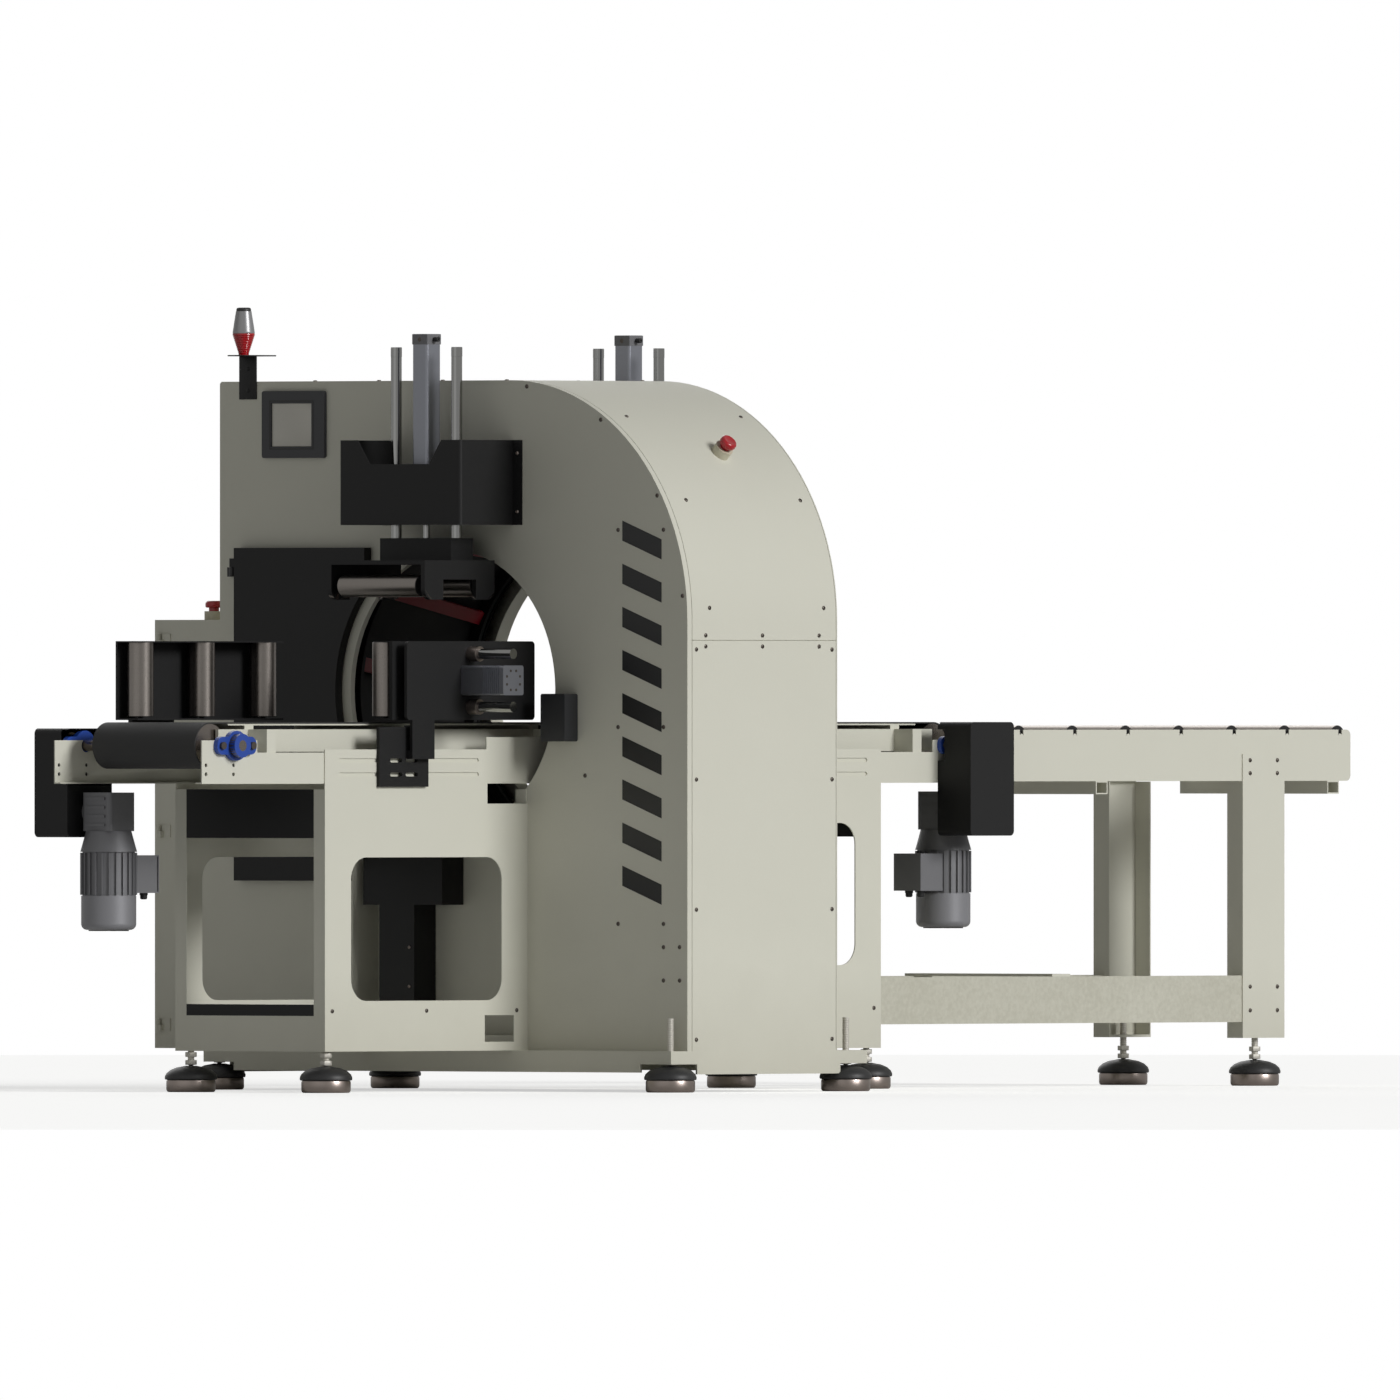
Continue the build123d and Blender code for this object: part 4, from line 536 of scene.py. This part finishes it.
class WRAPPER_OT_beacon(bpy.types.Operator):
    """Signal beacon: bent bracket, ribbed red lens, silver body and black cap"""
    bl_idname = "wrapper.beacon"
    bl_label = "Signal beacon"

    def execute(self, context):
        solids = sorted(islands("signal_beacon"), key=lambda i: i["high"][0] - i["low"][0])
        low, high = Vector(solids[0]["low"]), Vector(solids[0]["high"])
        arm_low, arm_high = Vector(solids[1]["low"]), Vector(solids[1]["high"])
        x, y = (low.x + high.x) / 2, (low.y + high.y) / 2
        base = low.z
        move = Matrix.Translation((x, y, base))
        bm = bmesh.new()
        lens = [(0, 0.1), (12, 0.1), (12, 4)]
        for rib in range(11):
            z, r = 4 + rib * 4, 12 + rib * 1.28
            lens += [(r, z), (r + 0.9, z + 1.4), (r + 0.9, z + 2.8), (r + 0.5, z + 3.6)]
        turned(bm, lens + [(25.4, 49.5), (0, 49.5)], 48, move)
        made = piece("beacon_lens", bm, "beacon_red", "root", angle=50)
        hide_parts("signal_beacon")
        bm = bmesh.new()
        turned(bm, [(0, 49.6), (25.2, 49.6), (25.5, 51), (25.2, 54), (21.5, 78), (18.6, 96), (18, 100.4),
                    (0, 100.4)],
               48, move)
        piece("beacon_body", bm, "beacon_plastic", "root", angle=50)
        bm = bmesh.new()
        turned(bm, [(0, 100.5), (17, 100.5), (17, 105), (15.5, 108), (12, 109), (0, 109)], 48, move)
        piece("beacon_cap", bm, "black_plastic", "root", angle=50)
        bm = bmesh.new()
        slab(bm, (-0.003 + arm_low.x + 0.042, arm_low.y, arm_low.z),
             (arm_low.x + 0.042, arm_high.y, arm_high.z), 0.0006)
        slab(bm, (arm_low.x, arm_low.y, arm_high.z - 0.003), (arm_high.x, arm_high.y, arm_high.z), 0.0008)
        for z in (0.02, 0.07):
            head = facing((-1, 0, 0), (arm_low.x + 0.039, y, arm_low.z + z))
            turned(bm, [(0, 2.2), (3, 2.1), (4.4, 1.2), (4.6, 0)], 16, head)
        piece("beacon_bracket", bm, "black_paint", "root")
        return {"FINISHED"}


class WRAPPER_OT_stops(bpy.types.Operator):
    """Emergency stops: mushroom heads with a dished top and a grip rim"""
    bl_idname = "wrapper.stops"
    bl_label = "Emergency stops"

    def execute(self, context):
        profile = [(0, -23), (11.9, -23), (11.9, 1), (17, 1), (19.3, 2.4), (20, 5), (20, 10), (19.2, 13.5),
                   (17, 16),
                   (14.6, 17), (12.5, 16.4), (8, 15.2), (0, 14.9)]
        for name, slide in (("cover_stop_button", "cover_stop_press"),
                            ("cabinet_stop_button", "cabinet_stop_press")):
            body = "cover_stop" if name.startswith("cover") else "cabinet_stop"
            normal = -Vector(joint(slide)["axis"])
            reach = max(v.co.dot(normal) for v in frame["nodes"][name].data.vertices)
            points = [v.co for v in frame["nodes"][name].data.vertices if v.co.dot(normal) > reach - 0.01]
            centre = sum(points, Vector()) / len(points)
            top = centre + normal * (reach - centre.dot(normal))
            bm = bmesh.new()
            turned(bm, profile, 48, facing(normal, top - normal * 17 * MM))
            made = piece(f"{name}_head", bm, "red_plastic", body, angle=50)
            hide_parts(name)
        return {"FINISHED"}


class WRAPPER_OT_touch_panel(bpy.types.Operator):
    """Plain grey touch panel glass in the recess of its bezel, and the bezel's raised rim"""
    bl_idname = "wrapper.touch_panel"
    bl_label = "Touch panel"

    def execute(self, context):
        low, high = map(Vector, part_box("touch_panel"))
        y0, y1, z0, z1 = low.y + 0.0405, high.y - 0.0305, low.z + 0.0265, high.z - 0.0285
        x = low.x + 0.004
        bm = bmesh.new()
        slab(bm, (x - 0.0018, y0, z0), (x, y1, z1), 0.0008)
        piece("touch_glass", bm, "screen", "root")
        bm = bmesh.new()
        rim = 0.0035
        for y in (low.y + 0.0335, high.y - 0.0235 - rim):
            slab(bm, (low.x - 0.0006, y, low.z + 0.0195), (low.x - 0.0001, y + rim, high.z - 0.0215),
                 0.0002, 1)
        for z in (low.z + 0.0195, high.z - 0.0215 - rim):
            slab(bm, (low.x - 0.0006, low.y + 0.0335 + rim, z),
                 (low.x - 0.0001, high.y - 0.0235 - rim, z + rim),
                 0.0002, 1)
        piece("panel_rim", bm, "black_plastic", "root")
        return {"FINISHED"}


class WRAPPER_OT_stripes(bpy.types.Operator):
    """A column of slanted bars on the front skin"""
    bl_idname = "wrapper.stripes"
    bl_label = "Front stripes"

    def execute(self, context):
        s = context.scene.wrapper_detail
        low = Vector(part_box("front_skin")[0])
        y0, y1 = low.y + 0.080, low.y + 0.202
        z0, z1 = low.z + 0.306, low.z + 1.192
        bm = bmesh.new()
        pitch = (z1 - z0) / s.stripe_count
        for number in range(s.stripe_count):
            z = z0 + (number + 0.5) * pitch
            slab(bm, (low.x - 0.0004, y0, z), (low.x - 0.0001, y1, z + s.stripe_width))
        shear = Matrix.Identity(4)
        shear[2][1] = math.tan(s.stripe_slant)
        middle = Matrix.Translation((0, (y0 + y1) / 2, 0))
        bmesh.ops.transform(bm, matrix=middle @ shear @ middle.inverted(), verts=bm.verts)
        piece("front_stripes", bm, "graphic_black", "root", smooth=False)
        return {"FINISHED"}


class WRAPPER_OT_motors(bpy.types.Operator):
    """Ringed fan grilles with six spokes under the gearmotors"""
    bl_idname = "wrapper.motors"
    bl_label = "Fan grilles"

    def execute(self, context):
        rings = context.scene.wrapper_detail.grille_rings
        for number, motor in enumerate(islands("gearmotors"), 1):
            low = Vector(motor["low"])
            x, y = barrel_axis(motor)
            bm = bmesh.new()
            for ring in range(rings):
                radius = 10 + ring * 6.5
                turned(bm, [(radius, -0.2), (radius, -2.2), (radius + 2.2, -2.2), (radius + 2.2, -0.2),
                            (radius, -0.2)],
                       40, Matrix.Translation((x, y, low.z)))
            for spoke in range(6):
                slab(bm, (0.008, -0.0012, -0.0026), (0.047, 0.0012, -0.0002), 0.0004)
                loose = [v for v in bm.verts if v.is_valid and abs(v.co.y) < 0.002 and 0.007 < v.co.x < 0.048
                         and abs(v.co.z) < 0.003]
                turn = Matrix.Translation((x, y, low.z)) @ Matrix.Rotation(spoke * math.tau / 6, 4, "Z")
                bmesh.ops.transform(bm, matrix=turn, verts=loose)
            piece(f"fan_grille_{number}", bm, "black_plastic", "root")
        return {"FINISHED"}


class WRAPPER_OT_roller_caps(bpy.types.Operator):
    """Pressed bearing caps in the ends of every roller"""
    bl_idname = "wrapper.roller_caps"
    bl_label = "Roller caps"

    def execute(self, context):
        bodies = frame["record"]["behaviour"]["bodies"]
        for body, nodes in sorted(bodies.items()):
            for node in nodes:
                if "_roller_" not in node:
                    continue
                low, high = map(Vector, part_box(node))
                size = high - low
                axis = max(range(3), key=lambda a: size[a])
                radius = min(size) / 2 / MM
                centre = (low + high) / 2
                bore = 6.6 if "press" not in node else 8.6
                bm = bmesh.new()
                for end, side in ((low, -1), (high, 1)):
                    at = centre.copy()
                    at[axis] = end[axis]
                    normal = Vector([side if a == axis else 0 for a in range(3)])
                    turned(bm, [(bore, 0.05), (bore, 1.6), (radius * 0.42, 1.6), (radius * 0.5, 0.6),
                                (radius * 0.78, 0.6),
                                (radius * 0.84, 1.2), (radius * 0.97, 1.2), (radius * 0.99, 0.05),
                                (bore, 0.05)], 32,
                           facing(normal, at))
                piece(f"{node}_caps", bm, "black_plastic", body)
        return {"FINISHED"}


class WRAPPER_OT_cylinders(bpy.types.Operator):
    """Cylinder covers with their screws, rod end collars and push-in air fittings"""
    bl_idname = "wrapper.cylinders"
    bl_label = "Cylinder details"

    def execute(self, context):
        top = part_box("press_cylinders")[1][2]
        for side in ("infeed", "outfeed"):
            carriage = f"{side}_press_carriage"
            rod_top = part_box(carriage)[1][2]
            points = [v.co for v in frame["nodes"][carriage].data.vertices if v.co.z > rod_top - 0.001]
            x = sum(co.x for co in points) / len(points)
            y = sum(co.y for co in points) / len(points)
            self.cover(side, x, y, top)
            self.rod_ends(side, points, rod_top)
        self.near_cover()
        return {"FINISHED"}

    @staticmethod
    def cover(side, x, y, top):
        """Cast end cover flush on the profile: four sunk screws, a port plug and two elbow fittings."""
        bm = bmesh.new()
        half = 0.0229
        slab(bm, (x - half - 0.0009, y - half, top - 0.024), (x - half - 0.0005, y + half, top - 0.0005),
             0.0001, 1)
        slab(bm, (x - half, y - half - 0.0009, top - 0.024), (x + half, y - half - 0.0005, top - 0.0005),
             0.0001, 1)
        piece(f"{side}_cylinder_cover", bm, "grey_cast", "root", smooth=False)
        bm = bmesh.new()
        for dx in (-0.0165, 0.0165):
            for dy in (-0.0165, 0.0165):
                turned(bm, [(3.4, -0.6), (3.4, -1.6), (1.8, -1.8), (0, -1.8)], 16,
                       Matrix.Translation((x + dx, y + dy, top)))
        port = facing((-1, 0, 0), (x - half - 0.0005, y, top - 0.0125))
        turned(bm, [(5.2, 0), (5.2, 0.8), (4.2, 1.1), (2.4, 1.1), (2.4, 0.5), (0, 0.5)], 20, port)
        piece(f"{side}_cylinder_screws", bm, "screw_steel", "root")
        bm = bmesh.new()
        for height in (0.012, 0.302):
            out = facing((0, -1, 0), (x, y - half - 0.0005, top - height))
            turned(bm, [(0, -0.2), (5, -0.2), (5, 6), (6, 6.4), (6, 14), (5.2, 15), (2.2, 15), (2.2, 12),
                        (0, 12)], 20, out)
        piece(f"{side}_air_fittings", bm, "black_plastic", "root")

    @staticmethod
    def rod_ends(side, points, top):
        """Turned chamfer rings that finish the tops of the two guide rods."""
        bm = bmesh.new()
        for sign in (-1, 1):
            own = [co for co in points if (co.y - MIDDLE_Y) * sign > 0]
            x, y = sum(co.x for co in own) / len(own), sum(co.y for co in own) / len(own)
            turned(bm, [(12.52, -22), (12.9, -21.8), (12.9, -1.6), (11.4, -0.1), (5, -0.1), (4.6, -1.2),
                        (0, -1.2)], 32,
                   Matrix.Translation((x, y, top)))
        piece(f"{side}_rod_ends", bm, "chrome_rod", f"{side}_press", angle=40)

    @staticmethod
    def near_cover():
        """The near guide's cylinder: bright end cover with a stepped face, and eight screws round it."""
        low = Vector(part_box("guide_mounts")[0])
        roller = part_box("near_guide_roller_2")
        x, z = (roller[0][0] + roller[1][0]) / 2, low.z + 0.2425
        y = low.y
        bm = bmesh.new()
        matrix = facing((0, -1, 0), (x, y + 0.0005, z))
        turned(bm, [(0, 0), (31.2, 0), (31.2, 0.35), (30.4, 0.45), (12, 0.45), (11.2, 0.1), (0, 0.1)], 48,
               matrix)
        piece("guide_cylinder_end", bm, "roller_aluminium", "root", angle=30)
        bm = bmesh.new()
        for step in range(8):
            angle = step * math.tau / 8 + math.tau / 16
            at = (x + 0.0235 * math.cos(angle), y, z + 0.0235 * math.sin(angle))
            turned(bm, [(3.2, 0.02), (3.2, 0.48), (1.7, 0.5), (1.7, 0.15), (0, 0.15)], 14,
                   facing((0, -1, 0), at))
        piece("guide_cylinder_screws", bm, "screw_steel", "root")


class WRAPPER_OT_press_screws(bpy.types.Operator):
    """Flange screws of the press covers and the small bright screws of the clamp tower"""
    bl_idname = "wrapper.press_screws"
    bl_label = "Cover screws"

    def execute(self, context):
        low, high = map(Vector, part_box("press_covers"))
        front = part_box("front_skin")[0][0]
        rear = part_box("rear_skin")[1][0]
        bm = bmesh.new()
        for x, out in ((front - 0.002, -1), (rear + 0.002, 1)):
            for y in (low.y + 0.0145, high.y - 0.0145):
                for z in (low.z + 0.03, high.z - 0.03):
                    WRAPPER_OT_screws.head(bm, facing((out, 0, 0), (x, y, z)), 4.6)
        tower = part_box("base_panels")
        x = front - 0.0752
        for z in (tower[0][2] + 0.03, tower[0][2] + 0.11, tower[0][2] + 0.20):
            WRAPPER_OT_screws.head(bm, facing((-1, 0, 0), (x, MIDDLE_Y + 0.066, z)), 4.0)
        piece("press_cover_screws", bm, "foot_steel", "root")
        return {"FINISHED"}


class WRAPPER_OT_terminal_boxes(bpy.types.Operator):
    """Terminal box lid, its four screws and two cable glands of each gearmotor"""
    bl_idname = "wrapper.terminal_boxes"
    bl_label = "Terminal boxes"

    def execute(self, context):
        for number, motor in enumerate(islands("gearmotors"), 1):
            low, high = Vector(motor["low"]), Vector(motor["high"])
            x, y = barrel_axis(motor)
            reach = Vector((high.x - x, 0, 0)) if high.x - x > 0.1 else Vector((low.x - x, 0, 0))
            if abs(reach.x) < 0.1 or number == 2 and low.y - y < -0.1:
                reach = Vector((0, low.y - y, 0))
            out = reach.normalized()
            centre = Vector((x, y, low.z + 0.127)) + reach
            lid = bmesh.new()
            across = Vector((-out.y, out.x, 0))
            half = across * 0.0415 + Vector((0, 0, 0.0425))
            a, b = centre - half - out * 0.0095, centre + half + out * 0.0001
            slab(lid, [min(p, q) for p, q in zip(a, b)], [max(p, q) for p, q in zip(a, b)], 0.003, 3)
            self.grow(lid, centre, 1.012)
            piece(f"terminal_lid_{number}", lid, "grey_cast", "root")
            bm = bmesh.new()
            for u in (-0.034, 0.034):
                for w in (-0.035, 0.035):
                    at = centre + across * u + Vector((0, 0, w)) - out * 0.0012
                    turned(bm, [(2.6, 0), (2.6, 1.1), (1.2, 1.2), (0, 1.0)], 12, facing(out, at))
            piece(f"terminal_screws_{number}", bm, "foot_steel", "root")
            bm = bmesh.new()
            for u in (-0.018, 0.018):
                at = centre - out * 0.026 + across * u - Vector((0, 0, 0.0428))
                gland = facing((0, 0, -1), at)
                turned(bm, [(0, 0), (9.5, 0), (9.5, 5), (8.2, 5.6), (8.2, 12), (6.5, 14.5), (3.4, 15),
                            (3.4, 9), (0, 9)],
                       24, gland)
            piece(f"terminal_glands_{number}", bm, "black_plastic", "root")
        return {"FINISHED"}

    @staticmethod
    def grow(bm, centre, factor):
        """Let a lid stand slightly proud of the box under it."""
        matrix = Matrix.Translation(centre) @ Matrix.Scale(factor, 4) @ Matrix.Translation(-centre)
        bmesh.ops.transform(bm, matrix=matrix, verts=bm.verts)


OPERATORS = (WRAPPER_OT_stage, WRAPPER_OT_finish_frame, WRAPPER_OT_feet, WRAPPER_OT_screws, WRAPPER_OT_beacon,
             WRAPPER_OT_stops, WRAPPER_OT_touch_panel, WRAPPER_OT_stripes, WRAPPER_OT_motors,
             WRAPPER_OT_roller_caps, WRAPPER_OT_cylinders, WRAPPER_OT_press_screws,
             WRAPPER_OT_terminal_boxes)


class WRAPPER_PT_panel(bpy.types.Panel):
    """Sizes and steps of the wrapper"""
    bl_label = "Stretch wrapper"
    bl_idname = "WRAPPER_PT_panel"
    bl_space_type = "VIEW_3D"
    bl_region_type = "UI"
    bl_category = "Wrapper"

    def draw(self, context):
        for group in (context.scene.wrapper_stage, context.scene.wrapper_detail):
            for name in group.__annotations__:
                self.layout.prop(group, name)
        for operator in OPERATORS:
            self.layout.operator(operator.bl_idname)


CLASSES = (WrapperStageSettings, WrapperDetailSettings, *OPERATORS, WRAPPER_PT_panel)


def register():
    for made in CLASSES:
        bpy.utils.register_class(made)
    bpy.types.Scene.wrapper_stage = bpy.props.PointerProperty(type=WrapperStageSettings)
    bpy.types.Scene.wrapper_detail = bpy.props.PointerProperty(type=WrapperDetailSettings)


def unregister():
    del bpy.types.Scene.wrapper_detail
    del bpy.types.Scene.wrapper_stage
    for made in reversed(CLASSES):
        bpy.utils.unregister_class(made)


def main():
    register()
    for operator in OPERATORS:
        group, name = operator.bl_idname.split(".")
        getattr(getattr(bpy.ops, group), name)()


if __name__ == "__main__":
    main()
